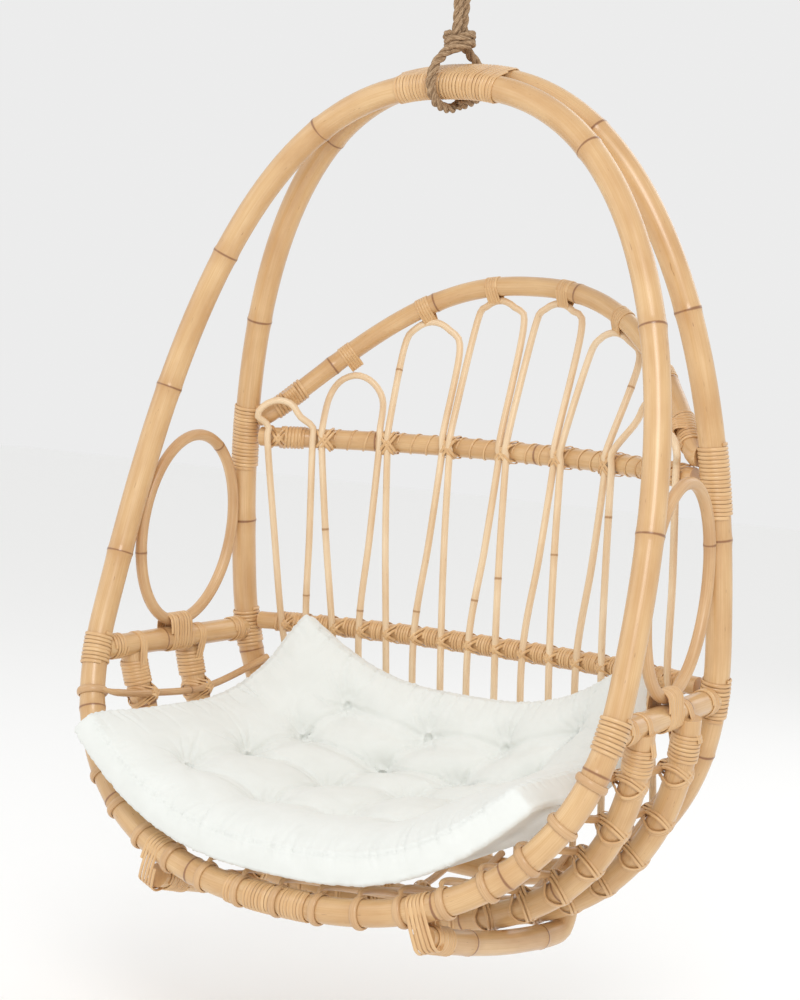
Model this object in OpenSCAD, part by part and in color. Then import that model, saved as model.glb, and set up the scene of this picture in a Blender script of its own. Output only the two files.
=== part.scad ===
// Hanging egg chair: two rattan hoops bound together at the top, a ribbed seat between them,
// a back of looped canes, a loose tufted cushion, and a rope that hangs from a ceiling swivel.
// Millimetres, +Z up, the sitter looks along -Y. The origin is the middle of the ceiling
// plate's mounting face.

/* [Hoops] */
// Width of the front hoop between its pole's centres
hoop_w = 868; // [740:1:1060]
// Height of the front hoop between its pole's centres
hoop_h = 1105; // [940:1:1340]
// Width of the back hoop between its pole's centres
back_hoop_w = 828; // [700:1:1000]
// Thickness of the hoop poles
pole_d = 37; // [28:1:45]
// How far the front hoop's foot stands ahead of its top
front_reach = 326; // [270:1:400]
// How far the front hoop is bowed forward at half height
front_bow = 35; // [0:1:60]
// How far the back hoop's foot stands behind its top
back_reach = 100; // [60:1:140]
// How much lower the back hoop's foot is than the front hoop's
back_drop = 40; // [20:1:60]
// How much higher the back hoop's top is than the front hoop's
back_rise = 12; // [0:1:20]
// Angle at which the frame leans back to hang with its weight under the rope
hang_lean = 3.4; // [0:0.1:6]

/* [Seat] */
// Height of the arm rails above the front hoop's foot
arm_height = 273; // [230:1:320]
// Thickness of the arm rails
arm_d = 34; // [28:1:40]
// Where the first seat hoop meets the arm rails, behind the hang point
seat_1_top_y = -160; // [-180:1:-140]
// Where the first seat hoop's foot lies
seat_1_foot_y = -120; // [-150:1:-100]
// How much lower the first seat hoop's foot is than the front hoop's
seat_1_drop = 56; // [40:1:72]
// Where the second seat hoop meets the arm rails
seat_2_top_y = -30; // [-50:1:0]
// Where the second seat hoop's foot lies
seat_2_foot_y = 0; // [-30:1:20]
// How much lower the second seat hoop's foot is than the front hoop's
seat_2_drop = 74; // [60:1:95]
// Thickness of the seat ribs
rib_d = 11; // [8:0.5:14]
// The space between ribs that each foot runner stands in, counted from the middle
runner_bay = 3; // [2:1:5]
// Thickness of the foot runners
runner_d = 34; // [26:1:40]

/* [Back] */
// Height of the middle rail above the front hoop's foot
mid_rail_height = 578; // [540:1:640]
// Thickness of the middle rail
mid_rail_d = 30; // [24:1:34]
// How far the middle rail bows behind its ends
mid_rail_bow = 125; // [80:1:150]
// Height of the lower rail above the arm rails
lower_rail_lift = 14; // [10:1:24]
// Thickness of the lower rail
lower_rail_d = 27; // [22:1:32]
// How far the lower rail bows behind its ends
lower_rail_bow = 62; // [40:1:80]
// Thickness of the arch over the back
arch_d = 29; // [24:1:32]
// Height of the arch above its ends
arch_rise = 218; // [180:1:260]
// How far the arch bows behind its ends
arch_bow = 165; // [120:1:190]
// Thickness of the looped back canes
cane_d = 10.5; // [8:0.5:12]

/* [Side rings] */
// Height of each side ring over its tube's centre line
ring_h = 282; // [240:1:330]
// Thickness of the side rings
side_ring_d = 17; // [14:1:20]

/* [Cushion] */
// Thickness of the cushion in its middle
cushion_t = 96; // [70:1:110]
// Thickness of the cushion along its boxed border
border_t = 46; // [30:1:60]
// Thickness of the cushion's quilted wall around its loose filling
cushion_wall = 5; // [3:0.5:8]

/* [Ceiling fitting] */
// Diameter of the ceiling plate
plate_d = 90; // [80:1:120]
// Thickness of the ceiling plate
plate_t = 6; // [4:0.5:8]
// Diameter of the circle that the four screws stand on
screw_pcd = 66; // [62:1:70]
// Diameter of the screw holes
screw_hole_d = 6.5; // [4.5:0.1:7]
// Diameter of the swivel's stem
stem_d = 12; // [10:0.5:14]
// Clearance between the stem and its bore, on the radius
stem_clear = 0.05; // [0.02:0.01:0.1]
// Thickness of the swivel eye's rod
eye_rod_d = 10; // [8:0.5:12]
// Radius of the swivel eye at the middle of its rod
eye_r = 21; // [20:0.5:24]
// Thickness of the hanging ring's wire
wire_d = 8; // [6:0.5:9]
// Radius of the hanging ring at the middle of its wire
ring_r = 24; // [23:0.5:28]

/* [Hidden] */

$fn = 48;
gap = 0.3;            // clear space between neighbours that aren't a fit
egg = 0.844;          // power that squares the egg outline's shoulders
front_belly = 0.30;   // height of the widest place, as a share of the hoop's height
back_belly = 0.35;
strip_t = 2.5;        // thickness of a wrapped cane strip
wrap_gap = 1;         // room inside a wrapping for its pole's bend
cane_steps = 4;       // rings between two points of a cane's route
pole_sides = 12;
cane_sides = 8;

// Rope
rope_d = 14.5;
thimble_r = 30;       // radius of the rope's centre line in the thimble
thimble_t = 2.5;
rope_points = [
    [-8, 26, -361], [-8, 8, -372], [-8, -14, -374], [-8, -36, -369], [-8, -50, -352], [-8, -51, -334],
    [-7, -43, -316], [-4, -28, -300], [-1, -14, -286], [0, -9, -268], [0, -8, -248],
    [0, -9, -228], [0, -13, -206], [0, -22, -182], [0, -29, -162], [0, -29, -145],
    [0, -24, -132], [0, -14, -123], [0, 0, -120], [0, 14, -123], [0, 24, -132],
    [0, 29, -145], [0, 29, -162], [0, 22, -182], [0, 13, -206], [0, 9, -228],
    [0, 8, -248], [0, 9, -268], [1, 14, -285], [4, 29, -297], [7, 46, -310],
    [8, 51, -328], [8, 50, -344], [8, 38, -357], [8, 20, -363], [8, 4, -370]
];
knot_z = -279;
knot_h = 38;
knot_w = 44;

// Ceiling fitting
boss_d = 36;
boss_h = 22;
recess_d = 27;
recess_h = 14;
washer_t = 2.5;
nut_t = 7;
nut_af = 19;
collar_d = 22;
collar_h = 6;
neck_h = 20.6;
eye_mouth = 55;       // degrees of the eye left open to hook the ring in
boss_z = -(plate_t + boss_h);
eye_z = boss_z - neck_h - eye_r - eye_rod_d / 2;
eye_rod_z = eye_z - eye_r;
ring_z = eye_rod_z + eye_rod_d / 2 + gap + wire_d / 2 - ring_r;
wire_z = ring_z - ring_r;
groove_r = rope_d / 2 + 3 * gap;
thimble_hole_r = thimble_r - groove_r - thimble_t;
thimble_z = wire_z + wire_d / 2 + gap - thimble_hole_r;

// Hoops
pole_r = pole_d / 2;
hang_drop = 342;      // from the ceiling to the front hoop's top
foot_z = -(hang_drop + hoop_h);
top_y = pole_r + 0.5;
hang_z = -hang_drop + back_rise / 2;
arm_z = foot_z + arm_height;
lower_rail_z = arm_z + lower_rail_lift;
mid_rail_z = foot_z + mid_rail_height;
arch_z = mid_rail_z + (mid_rail_d + arch_d) / 2 + 2 * gap;
front_low = front_belly * hoop_h;
front_high = hoop_h - front_low;
back_h = hoop_h + back_drop + back_rise;
back_low = back_belly * back_h;
back_high = back_h - back_low;
back_foot_z = foot_z - back_drop;

// Colours
rattan = "#D6AC76";
cane = "#DDB88A";
peel = "#CFA56F";
steel = "#B9BCC0";
rope = "#AA8C6E";
cotton = "#EBEEE9";

// ---- Curves ----

function unit(v) = v / norm(v);
function spow(v, p) = sign(v) * pow(abs(v), p);
function mix(a, b, s) = a + (b - a) * s;

// A point on the smooth curve through p, in the stretch after p[i]
function curve_at(p, i, s) =
    let (a = p[max(i - 1, 0)], b = p[i], c = p[i + 1], d = p[min(i + 2, len(p) - 1)])
    0.5 * (2 * b + (c - a) * s + (2 * a - 5 * b + 4 * c - d) * s * s
        + (3 * b - a - 3 * c + d) * s * s * s);

function curve(p, steps) = [
    for (i = [0 : len(p) - 2]) for (k = [0 : steps - 1]) curve_at(p, i, k / steps),
    p[len(p) - 1]
];

function tangent(path, i, closed) =
    let (n = len(path))
    closed
        ? unit(path[(i + 1) % n] - path[(i + n - 1) % n])
        : unit(path[min(i + 1, n - 1)] - path[max(i - 1, 0)]);

// The corners of a round section across the path, turned so that it stays square to side
function section(path, i, d, sides, side, closed) =
    let (
        t = tangent(path, i, closed),
        u = unit(cross(t, side)),
        v = cross(u, t)
    )
    [for (k = [0 : sides - 1]) path[i] + d / 2 * (cos(360 * k / sides) * u + sin(360 * k / sides) * v)];

// A round pole or cane swept along a path
module pole(path, d, sides, side, closed = false) {
    n = len(path);
    points = [for (i = [0 : n - 1]) each section(path, i, d, sides, side, closed)];
    walls = [
        for (i = [0 : (closed ? n - 1 : n - 2)]) for (k = [0 : sides - 1])
            let (j = (i + 1) % n, m = (k + 1) % sides)
            [i * sides + k, i * sides + m, j * sides + m, j * sides + k]
    ];
    ends = closed ? [] : [
        [for (k = [sides - 1 : -1 : 0]) k],
        [for (k = [0 : sides - 1]) (n - 1) * sides + k]
    ];
    polyhedron(points, concat(walls, ends), convexity = 8);
}

// Puts its children at p with +Z along direction v
module along(p, v) {
    w = unit(v);
    translate(p) rotate([0, acos(w.z), atan2(w.y, w.x)]) children();
}

// A wrapping of cane strip: a sleeve of length h round a pole of diameter d
module sleeve(p, v, d, h, wall = strip_t) {
    along(p, v) difference() {
        cylinder(d = d + 2 * (wrap_gap + wall), h = h, center = true);
        cylinder(d = d + 2 * wrap_gap, h = h + 2, center = true);
    }
}

// Tips the frame back about the place where the rope holds it
module hung() {
    translate([0, 0, hang_z]) rotate([hang_lean, 0, 0]) translate([0, 0, -hang_z]) children();
}

// Both sides of a symmetrical pair
module both_sides() {
    children();
    mirror([1, 0, 0]) children();
}

// ---- Outlines of the four hoops ----

// Angle down from a hoop's top at which it is at height z below its widest place
function low_angle(depth, low) = 180 - acos(pow(depth / low, 1 / egg));
// Angles that space an outline's points evenly, and the way back
function even(f) = atan2(spow(sin(f), 1 / egg), spow(cos(f), 1 / egg));
function uneven(t) = atan2(spow(sin(t), egg), spow(cos(t), egg));
function egg_z(t, high, low) = cos(t) >= 0 ? high * pow(cos(t), egg) : -low * pow(-cos(t), egg);

function front_at(t) =
    let (z = egg_z(t, front_high, front_low) + front_low, u = z / hoop_h)
    [hoop_w / 2 * spow(sin(t), egg), -top_y - front_reach * (1 - u) + front_bow * 4 * u * (1 - u), foot_z + z];

function back_at(t) =
    let (z = egg_z(t, back_high, back_low) + back_low, u = z / back_h)
    [back_hoop_w / 2 * spow(sin(t), egg), top_y + back_reach * (1 - u), back_foot_z + z];

// The seat hoops follow the front hoop's lower half, sunk by drop; t is measured from the foot
function seat_at(t, top, foot, drop) =
    let (b = front_low + drop, z = b * (1 - pow(max(cos(t), 0), egg)), arm = arm_height + drop)
    [hoop_w / 2 * spow(sin(t), egg), mix(foot, top, min(z / arm, 1)), foot_z - drop + z];

function seat_1_at(t) = seat_at(t, seat_1_top_y, seat_1_foot_y, seat_1_drop);
function seat_2_at(t) = seat_at(t, seat_2_top_y, seat_2_foot_y, seat_2_drop);

// Upward angle at which a seat hoop stops under its arm rail
function seat_end(drop) =
    acos(pow(1 - (arm_height - arm_d / 2 - 6 + drop) / (front_low + drop), 1 / egg));

arm_front_t = low_angle(front_low - arm_height, front_low);
arm_back_t = low_angle(back_low - arm_height - back_drop, back_low);
arm_front = front_at(arm_front_t);
arm_back = back_at(arm_back_t);
mid_rail_t = acos(pow((mid_rail_height + back_drop - back_low) / back_high, 1 / egg));
mid_rail_end = back_at(mid_rail_t);

hoop_steps = 64;
front_path = [for (i = [0 : hoop_steps - 1]) front_at(even(360 * i / hoop_steps))];
back_path = [for (i = [0 : hoop_steps - 1]) back_at(even(360 * i / hoop_steps))];
seat_steps = 26;
function seat_t(i, drop) = even(uneven(seat_end(drop)) * (2 * i / seat_steps - 1));
seat_1_path = [for (i = [0 : seat_steps]) seat_1_at(seat_t(i, seat_1_drop))];
seat_2_path = [for (i = [0 : seat_steps]) seat_2_at(seat_t(i, seat_2_drop))];

module front_hoop() {
    color(rattan) hung() pole(front_path, pole_d, pole_sides, [0, 1, 0], closed = true);
}

module back_hoop() {
    color(rattan) hung() pole(back_path, pole_d, pole_sides, [0, 1, 0], closed = true);
}

module front_seat_hoop() {
    color(rattan) hung() pole(seat_1_path, pole_d, pole_sides, [0, 1, 0]);
}

module rear_seat_hoop() {
    color(rattan) hung() pole(seat_2_path, pole_d, pole_sides, [0, 1, 0]);
}

// ---- Rails ----

// An arm rail, its ends hollowed to seat against both hoops
module arm_rail() {
    run = arm_back - arm_front;
    difference() {
        along(arm_front, run) cylinder(d = arm_d, h = norm(run));
        along(arm_front, front_at(arm_front_t + 3) - front_at(arm_front_t - 3))
            cylinder(d = pole_d + 2 * (wrap_gap + strip_t + gap), h = 4 * arm_d, center = true);
        along(arm_back, back_at(arm_back_t + 3) - back_at(arm_back_t - 3))
            cylinder(d = pole_d + 2 * (wrap_gap + strip_t + gap), h = 4 * arm_d, center = true);
    }
}

module right_arm_rail() {
    color(rattan) hung() arm_rail();
}

module left_arm_rail() {
    color(rattan) hung() mirror([1, 0, 0]) arm_rail();
}

// Height and depth of the back's rails as they cross at x. They stop just short of the
// wrappings on the back hoop, and the more a rail slants there the shorter it is
wrapped_r = pole_r + wrap_gap + strip_t + gap;
mid_reach = mid_rail_end.x - wrapped_r - mid_rail_d / 2;
lower_reach = arm_back.x - wrapped_r - lower_rail_d / 3;
arch_reach = mid_rail_end.x - wrapped_r - arch_d / 3;
function bowed(x, reach, bow) = bow * (1 - pow(min(abs(x) / reach, 1), 2.4));
function mid_rail_y(x) = mid_rail_end.y + bowed(x, mid_reach, mid_rail_bow);
function lower_rail_y(x) = arm_back.y + bowed(x, lower_reach, lower_rail_bow);
function arch_y(x) = mid_rail_end.y + bowed(x, arch_reach, arch_bow);
// The arch leaves the hoop level, climbs steeply and flattens over the middle
function arch_top(x) = arch_z + arch_rise * pow(1 - pow(min(abs(x) / arch_reach, 1), 2.4), 1.15);

// Distance ahead of a slanting rail at which a cane clears it
function ahead(d, near, far) = (d / 2 + cane_d / 2 + gap) * norm([2, far - near]) / 2;
function mid_front_y(x) = mid_rail_y(x) - ahead(mid_rail_d, mid_rail_y(x - 1), mid_rail_y(x + 1));
function lower_front_y(x) =
    lower_rail_y(x) - ahead(lower_rail_d, lower_rail_y(x - 1), lower_rail_y(x + 1));

rail_steps = 24;
function rail_xs(reach) = [for (i = [0 : rail_steps]) reach * (2 * i / rail_steps - 1)];

module mid_rail() {
    path = [for (x = rail_xs(mid_reach)) [x, mid_rail_y(x), mid_rail_z]];
    color(rattan) hung() pole(path, mid_rail_d, pole_sides, [0, 0, 1]);
}

module lower_rail() {
    path = [for (x = rail_xs(lower_reach)) [x, lower_rail_y(x), lower_rail_z]];
    color(rattan) hung() pole(path, lower_rail_d, pole_sides, [0, 0, 1]);
}

module back_arch() {
    path = [for (x = rail_xs(arch_reach)) [x, arch_y(x), arch_top(x)]];
    color(rattan) hung() pole(path, arch_d, pole_sides, [0, 0, 1]);
}

// ---- Side rings ----

// The hoops' depth at height z above the front hoop's foot, on the ring's side
function front_y_at(z) =
    let (u = z / hoop_h) -top_y - front_reach * (1 - u) + front_bow * 4 * u * (1 - u);
function back_y_at(z) = top_y + back_reach * (1 - (z + back_drop) / back_h);

// An oval that fills the space between the hoops and stands on the arm rail
module side_ring() {
    middle = arm_height + (arm_d + side_ring_d + ring_h) / 2 + 2 * gap;
    room = back_y_at(middle) - front_y_at(middle) - pole_d - side_ring_d;
    steps = 32;
    path = [
        for (i = [0 : steps - 1])
            let (
                a = 360 * i / steps,
                z = middle + ring_h / 2 * sin(a),
                y = (front_y_at(z) + back_y_at(z)) / 2 + (room / 2 - 5) * cos(a),
                x = mix(arm_front.x, arm_back.x, (y - arm_front.y) / (arm_back.y - arm_front.y))
            )
            [x, y, foot_z + z]
    ];
    pole(path, side_ring_d, 10, [1, 0, 0], closed = true);
}

module right_side_ring() {
    color(cane) hung() side_ring();
}

module left_side_ring() {
    color(cane) hung() mirror([1, 0, 0]) side_ring();
}

// ---- Back canes ----

// Where neighbouring loops meet on the middle rail, and how the legs spread on the lower rail
cross_x = [0, 98, 197, 290, 352];
leg_x = [24, 72, 120, 168, 214, 258, 300, 338];
leg_pair = cane_d / 2 + 3 * gap;
arch_under = (arch_d + cane_d) / 2 + gap;

// Angle from the foot at which the back hoop is x from the middle
function back_angle(x) = asin(pow(min(abs(x) / (back_hoop_w / 2), 1), 1 / egg));
function back_point(x) = let (p = back_at(180 - back_angle(x))) [x, p.y, p.z];

// One leg from the middle rail to its foot behind the back hoop
function leg(cross, foot_x) =
    let (
        foot = back_point(foot_x),
        behind = foot.y + pole_r + cane_d / 2 + 2,
        low_y = lower_front_y(foot_x),
        high_y = mid_front_y(cross)
    )
    [
        [cross, high_y, mid_rail_z + mid_rail_d * 0.6],
        [cross, high_y, mid_rail_z - mid_rail_d * 0.3],
        [mix(cross, foot_x, 0.4), mix(high_y, low_y, 0.5), mix(mid_rail_z, lower_rail_z, 0.5)],
        [foot_x, low_y, lower_rail_z],
        [foot_x, mix(low_y, behind, 0.8), mix(lower_rail_z, foot.z, 0.6)],
        [foot_x, behind, foot.z + 14],
        [foot_x, behind, foot.z - 12]
    ];

function flip(p) = [for (i = [len(p) - 1 : -1 : 0]) p[i]];

// How far each loop leans outwards, and how much wider it is than the space between its legs
lean = [2, 12, 20, 10];
swell = [1, 6, 4, 0];

// Loop n of the right half, counted from the middle. The last one stands ahead of the arch's foot
module back_loop(n) {
    inner = cross_x[n] + leg_pair;
    outer = cross_x[n + 1] - (n == 3 ? 0 : leg_pair);
    middle = (inner + outer) / 2 + lean[n];
    half = (outer - inner) / 2 + swell[n];
    slope = (arch_top(middle - 5) - arch_top(middle + 5)) / 10;
    hung_z = arch_top(middle) - (half + arch_under + 1) * sqrt(1 + slope * slope) - 0.3 * half;
    round_z = max(hung_z, mid_rail_z + mid_rail_d * 0.75);
    crown = [
        for (a = [160 : -35 : 20])
            let (x = middle + half * cos(a))
            [x, n == 3 ? mid_front_y(x) - cane_d : (arch_y(middle) + arch_y(x)) / 2, round_z + 1.3 * half * sin(a)]
    ];
    route = concat(flip(leg(inner, leg_x[2 * n])), crown, leg(outer, leg_x[2 * n + 1]));
    pole(curve(route, 3), cane_d, cane_sides, [0, 1, 0]);
}

module back_loop_1() { color(cane) hung() mirror([1, 0, 0]) back_loop(3); }
module back_loop_2() { color(cane) hung() mirror([1, 0, 0]) back_loop(2); }
module back_loop_3() { color(cane) hung() mirror([1, 0, 0]) back_loop(1); }
module back_loop_4() { color(cane) hung() mirror([1, 0, 0]) back_loop(0); }
module back_loop_5() { color(cane) hung() back_loop(0); }
module back_loop_6() { color(cane) hung() back_loop(1); }
module back_loop_7() { color(cane) hung() back_loop(2); }
module back_loop_8() { color(cane) hung() back_loop(3); }

// ---- Seat ribs ----

// Angle from the foot of rib k, which is 0 in the middle and 8 beside the arm rail
function rib_angle(k) = sign(k) * 73 * pow(abs(k) / 8, 1.2);

// The direction towards the sitter, square to a hoop's outline at angle t from its foot
function inward(a, b) = let (d = unit([b.x - a.x, 0, b.z - a.z])) [-d.z, 0, d.x];
over_pole = pole_r + rib_d / 2 + gap;
ring_out = pole_r + gap + rib_d;

module seat_rib(k) {
    t = rib_angle(k);
    front = front_at(180 - t);
    front_in = inward(front_at(180 - t + 2), front_at(180 - t - 2));
    seat_1_in = inward(seat_1_at(t - 2), seat_1_at(t + 2));
    seat_2_in = inward(seat_2_at(t - 2), seat_2_at(t + 2));
    back = back_at(180 - t);
    back_in = inward(back_at(180 - t + 2), back_at(180 - t - 2));
    route = [
        front + [0, ring_out + 1, 0] + front_in * 8,
        seat_1_at(t) + seat_1_in * over_pole,
        seat_2_at(t) + seat_2_in * over_pole,
        back + back_in * over_pole + [0, -6, 0]
    ];
    color(cane) hung() pole(curve(route, cane_steps), rib_d, cane_sides, [1, 0, 0]);
}

module seat_rib_1() { seat_rib(-8); }
module seat_rib_2() { seat_rib(-7); }
module seat_rib_3() { seat_rib(-6); }
module seat_rib_4() { seat_rib(-5); }
module seat_rib_5() { seat_rib(-4); }
module seat_rib_6() { seat_rib(-3); }
module seat_rib_7() { seat_rib(-2); }
module seat_rib_8() { seat_rib(-1); }
module seat_rib_9() { seat_rib(0); }
module seat_rib_10() { seat_rib(1); }
module seat_rib_11() { seat_rib(2); }
module seat_rib_12() { seat_rib(3); }
module seat_rib_13() { seat_rib(4); }
module seat_rib_14() { seat_rib(5); }
module seat_rib_15() { seat_rib(6); }
module seat_rib_16() { seat_rib(7); }
module seat_rib_17() { seat_rib(8); }

// Each rib's end is bent once round the front hoop
module rib_rings() {
    color(cane) hung() for (k = [-8 : 8]) {
        t = rib_angle(k);
        along(front_at(180 - t), front_at(180 - t + 2) - front_at(180 - t - 2))
            rotate_extrude() translate([pole_r + rib_d / 2 + 3 * gap, 0]) circle(d = rib_d, $fn = 24);
    }
}

// ---- Foot runners ----

runner_t = (rib_angle(runner_bay) + rib_angle(runner_bay + 1)) / 2;

// A pole bent under the seat: lashed below the front hoop, hooked up behind the second seat hoop
runner_front = front_at(180 - runner_t);
runner_mid = seat_1_at(runner_t);
runner_rear = seat_2_at(runner_t);
runner_slant = seat_2_at(runner_t + 1) - seat_2_at(runner_t - 1);
runner_under = ((pole_d + runner_d) / 2 + 1) * norm(runner_slant) / runner_slant.x;
runner_route = [
    runner_front + [0, 0, -runner_under],
    mix(runner_front, runner_mid, 0.45) + [0, 0, -runner_under - 4],
    runner_mid + [0, 0, -runner_under - 1],
    runner_rear + [0, 0, -runner_under],
    runner_rear + runner_under * [0, 0.74, -0.74],
    runner_rear + [0, runner_under + 1, 4]
];

module runner() {
    pole(curve(runner_route, 3), runner_d, pole_sides, [1, 0, 0]);
}

module right_runner() {
    color(rattan) hung() runner();
}

module left_runner() {
    color(rattan) hung() mirror([1, 0, 0]) runner();
}

// ---- Wrappings ----

// Angle from a hoop's top at which it is x from the middle
function top_angle(x, w) = sign(x) * asin(pow(abs(x) / (w / 2), 1 / egg));

// Both hoops bound side by side under the rope, in short turns that follow their bend
module top_binding() {
    turn_w = 32;
    color(peel) hung() for (k = [-2 : 2]) {
        x = k * (turn_w + 4);
        t = top_angle(x, hoop_w);
        a = front_at(t);
        b = back_at(top_angle(x, back_hoop_w));
        run = front_at(t + 2) - front_at(t - 2);
        translate((a + b) / 2) rotate([0, -atan2(run.z, run.x), 0])
            rotate([atan2(b.z - a.z, b.y - a.y), 0, 0]) rotate([0, 90, 0]) difference() {
                hull() for (s = [-1, 1]) translate([0, s * norm(b - a) / 2, 0])
                    cylinder(d = pole_d + 2 * (wrap_gap + strip_t), h = turn_w, center = true, $fn = 32);
                for (s = [-1, 1]) translate([0, s * norm(b - a) / 2, 0])
                    cylinder(d = pole_d + 2 * wrap_gap + 1, h = turn_w + 2, center = true);
            }
    }
}

module hoop_sleeve(a, b, h) {
    sleeve((a + b) / 2, b - a, pole_d, h);
}

// Cane strip wound round the front hoop where each arm rail butts against it
module front_arm_bindings() {
    color(peel) hung() both_sides()
        hoop_sleeve(front_at(arm_front_t - 2), front_at(arm_front_t + 2), 36);
}

module back_arm_bindings() {
    color(peel) hung() both_sides()
        hoop_sleeve(back_at(arm_back_t - 2), back_at(arm_back_t + 2), 46);
}

module mid_rail_bindings() {
    color(peel) hung() both_sides()
        hoop_sleeve(back_at(mid_rail_t - 2), back_at(mid_rail_t + 2), 62);
}

// Wound cane round the top of each seat hoop, just under its arm rail
module seat_hoop_bindings() {
    color(peel) hung() both_sides() {
        for (end = [seat_end(seat_1_drop)])
            sleeve(seat_1_at(end - 3.4), seat_1_at(end - 1) - seat_1_at(end - 5), pole_d, 26);
        for (end = [seat_end(seat_2_drop)])
            sleeve(seat_2_at(end - 3.4), seat_2_at(end - 1) - seat_2_at(end - 5), pole_d, 26);
    }
}

// Wound cane round each runner just behind the front hoop
module runner_bindings() {
    run = runner_route[1] - runner_route[0];
    color(peel) hung() both_sides()
        sleeve(runner_route[0] + unit(run) * pole_d, run, runner_d, 16);
}

// A band that holds each side ring down on its arm rail
module ring_ties() {
    run = arm_back - arm_front;
    share = ((front_y_at(arm_height) + back_y_at(arm_height)) / 2 - arm_front.y) / run.y;
    up = (arm_d + side_ring_d) / 2 + 2 * gap;
    color(peel) hung() both_sides() along(mix(arm_front, arm_back, share), run) difference() {
        hull() {
            cylinder(d = arm_d + 2 * (wrap_gap + strip_t), h = 30, center = true, $fn = 32);
            translate([-up - 2, 0, 0])
                cylinder(d = side_ring_d + 2 * (wrap_gap + strip_t), h = 30, center = true, $fn = 32);
        }
        hull() {
            cylinder(d = arm_d + 2 * wrap_gap, h = 32, center = true, $fn = 32);
            translate([-up - 2, 0, 0])
                cylinder(d = side_ring_d + 2 * wrap_gap, h = 32, center = true, $fn = 32);
        }
    }
}

// ---- Cushion ----

// Stations from the cushion's front to its back: depth, height of the underside in the middle
// above the front hoop's foot, half width, and how much higher the underside is at the sides
cushion_room = hoop_w / 2 - pole_r - 2 * rib_d;
cushion_base = pole_r + rib_d + 2;
cushion_front = front_at(180).y - 26;
cushion_stations = [
    [0, 4, cushion_room - 18, 160],
    [90, 0, cushion_room - 18, 158],
    [190, 0, cushion_room - 18, 156],
    [290, 2, cushion_room - 20, 156],
    [370, 20, cushion_room - 36, 164],
    [432, 84, cushion_room - 60, 142],
    [472, 190, cushion_room - 92, 102]
];

// The underside at share u of the half width and share v of the way back
function pad_low(u, v) =
    let (
        n = len(cushion_stations) - 1,
        i = min(floor(v * n), n - 1),
        s = curve_at(cushion_stations, i, v * n - i)
    )
    [s[2] * u, cushion_front + s[0] - 30 * v * u * u, foot_z + cushion_base + s[1] + s[3] * pow(abs(u), 2.8)];

function pad_up(u, v) =
    let (e = 0.01)
    unit(cross(pad_low(u + e, v) - pad_low(u - e, v), pad_low(u, v + e) - pad_low(u, max(v - e, 0))));

// Full in the middle, thinner towards the boxed border
function pad_full(u, v) = (1 - pow(abs(u), 5)) * (1 - pow(abs(2 * v - 1), 5));

// The pad with its outside drawn in by cut
module pad(cut) {
    nu = 14;
    nv = 12;
    shrink = 1 - cut / 200;
    function at(i, j, top) =
        let (
            u = (2 * i / nu - 1) * shrink,
            v = 0.5 + (j / nv - 0.5) * shrink,
            t = border_t + (cushion_t - border_t) * pad_full(u, v)
        )
        pad_low(u, v) + pad_up(u, v) * (top ? t - cut : cut);
    row = nu + 1;
    count = row * (nv + 1);
    points = concat(
        [for (j = [0 : nv]) for (i = [0 : nu]) at(i, j, false)],
        [for (j = [0 : nv]) for (i = [0 : nu]) at(i, j, true)]
    );
    under = [for (j = [0 : nv - 1]) for (i = [0 : nu - 1])
        [j * row + i, j * row + i + 1, (j + 1) * row + i + 1, (j + 1) * row + i]];
    over = [for (f = under) [for (k = [3 : -1 : 0]) f[k] + count]];
    rim = concat(
        [for (i = [0 : nu - 1]) [i, i + 1]],
        [for (j = [0 : nv - 1]) [j * row + nu, (j + 1) * row + nu]],
        [for (i = [nu - 1 : -1 : 0]) [nv * row + i + 1, nv * row + i]],
        [for (j = [nv - 1 : -1 : 0]) [(j + 1) * row, j * row]]
    );
    border = [for (e = rim) [e[0], e[0] + count, e[1] + count, e[1]]];
    polyhedron(points, concat(under, over, border), convexity = 6);
}

module cushion() {
    color(cotton) hung() difference() {
        pad(0);
        pad(cushion_wall);
    }
}

// ---- Rope and ceiling fitting ----

module hanging_rope() {
    color(rope) pole(curve(rope_points, 2), rope_d, 10, [1, 0, 0]);
}

// The knot's outer shape, round both runs of the rope
module rope_knot() {
    color(rope) translate([0, 0, knot_z]) cylinder(d = knot_w, h = knot_h, center = true);
}

module rope_thimble() {
    color(steel) translate([0, 0, thimble_z]) rotate([0, 90, 0]) rotate_extrude() intersection() {
        translate([thimble_r, 0]) difference() {
            circle(r = groove_r + thimble_t);
            circle(r = groove_r);
        }
        translate([0, -20]) square([thimble_r + 2, 40]);
    }
}

module hanging_ring() {
    color(steel) translate([0, 0, ring_z]) rotate([90, 0, 0])
        rotate_extrude() translate([ring_r, 0]) circle(d = wire_d);
}

// Stem, collar and an open eye in one forging
module swivel_eye() {
    color(steel) {
        translate([0, 0, eye_z + eye_r]) cylinder(d = stem_d, h = -eye_z - eye_r - 3);
        translate([0, 0, boss_z - 0.5 - collar_h]) cylinder(d = collar_d, h = collar_h);
        translate([0, 0, eye_z]) rotate([0, 90, 0]) rotate([0, 0, 250])
            rotate_extrude(angle = 360 - eye_mouth) translate([eye_r, 0]) circle(d = eye_rod_d);
    }
}

module retaining_nut() {
    color(steel) translate([0, 0, -recess_h + washer_t + 0.5]) difference() {
        cylinder(d = nut_af / cos(30), h = nut_t, $fn = 6);
        translate([0, 0, -1]) cylinder(r = stem_d / 2 + 0.02, h = nut_t + 2);
    }
}

module thrust_washer() {
    color(steel) translate([0, 0, -recess_h + 0.1]) difference() {
        cylinder(d = recess_d - 1, h = washer_t);
        translate([0, 0, -1]) cylinder(d = stem_d + 0.6, h = washer_t + 2);
    }
}

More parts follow.
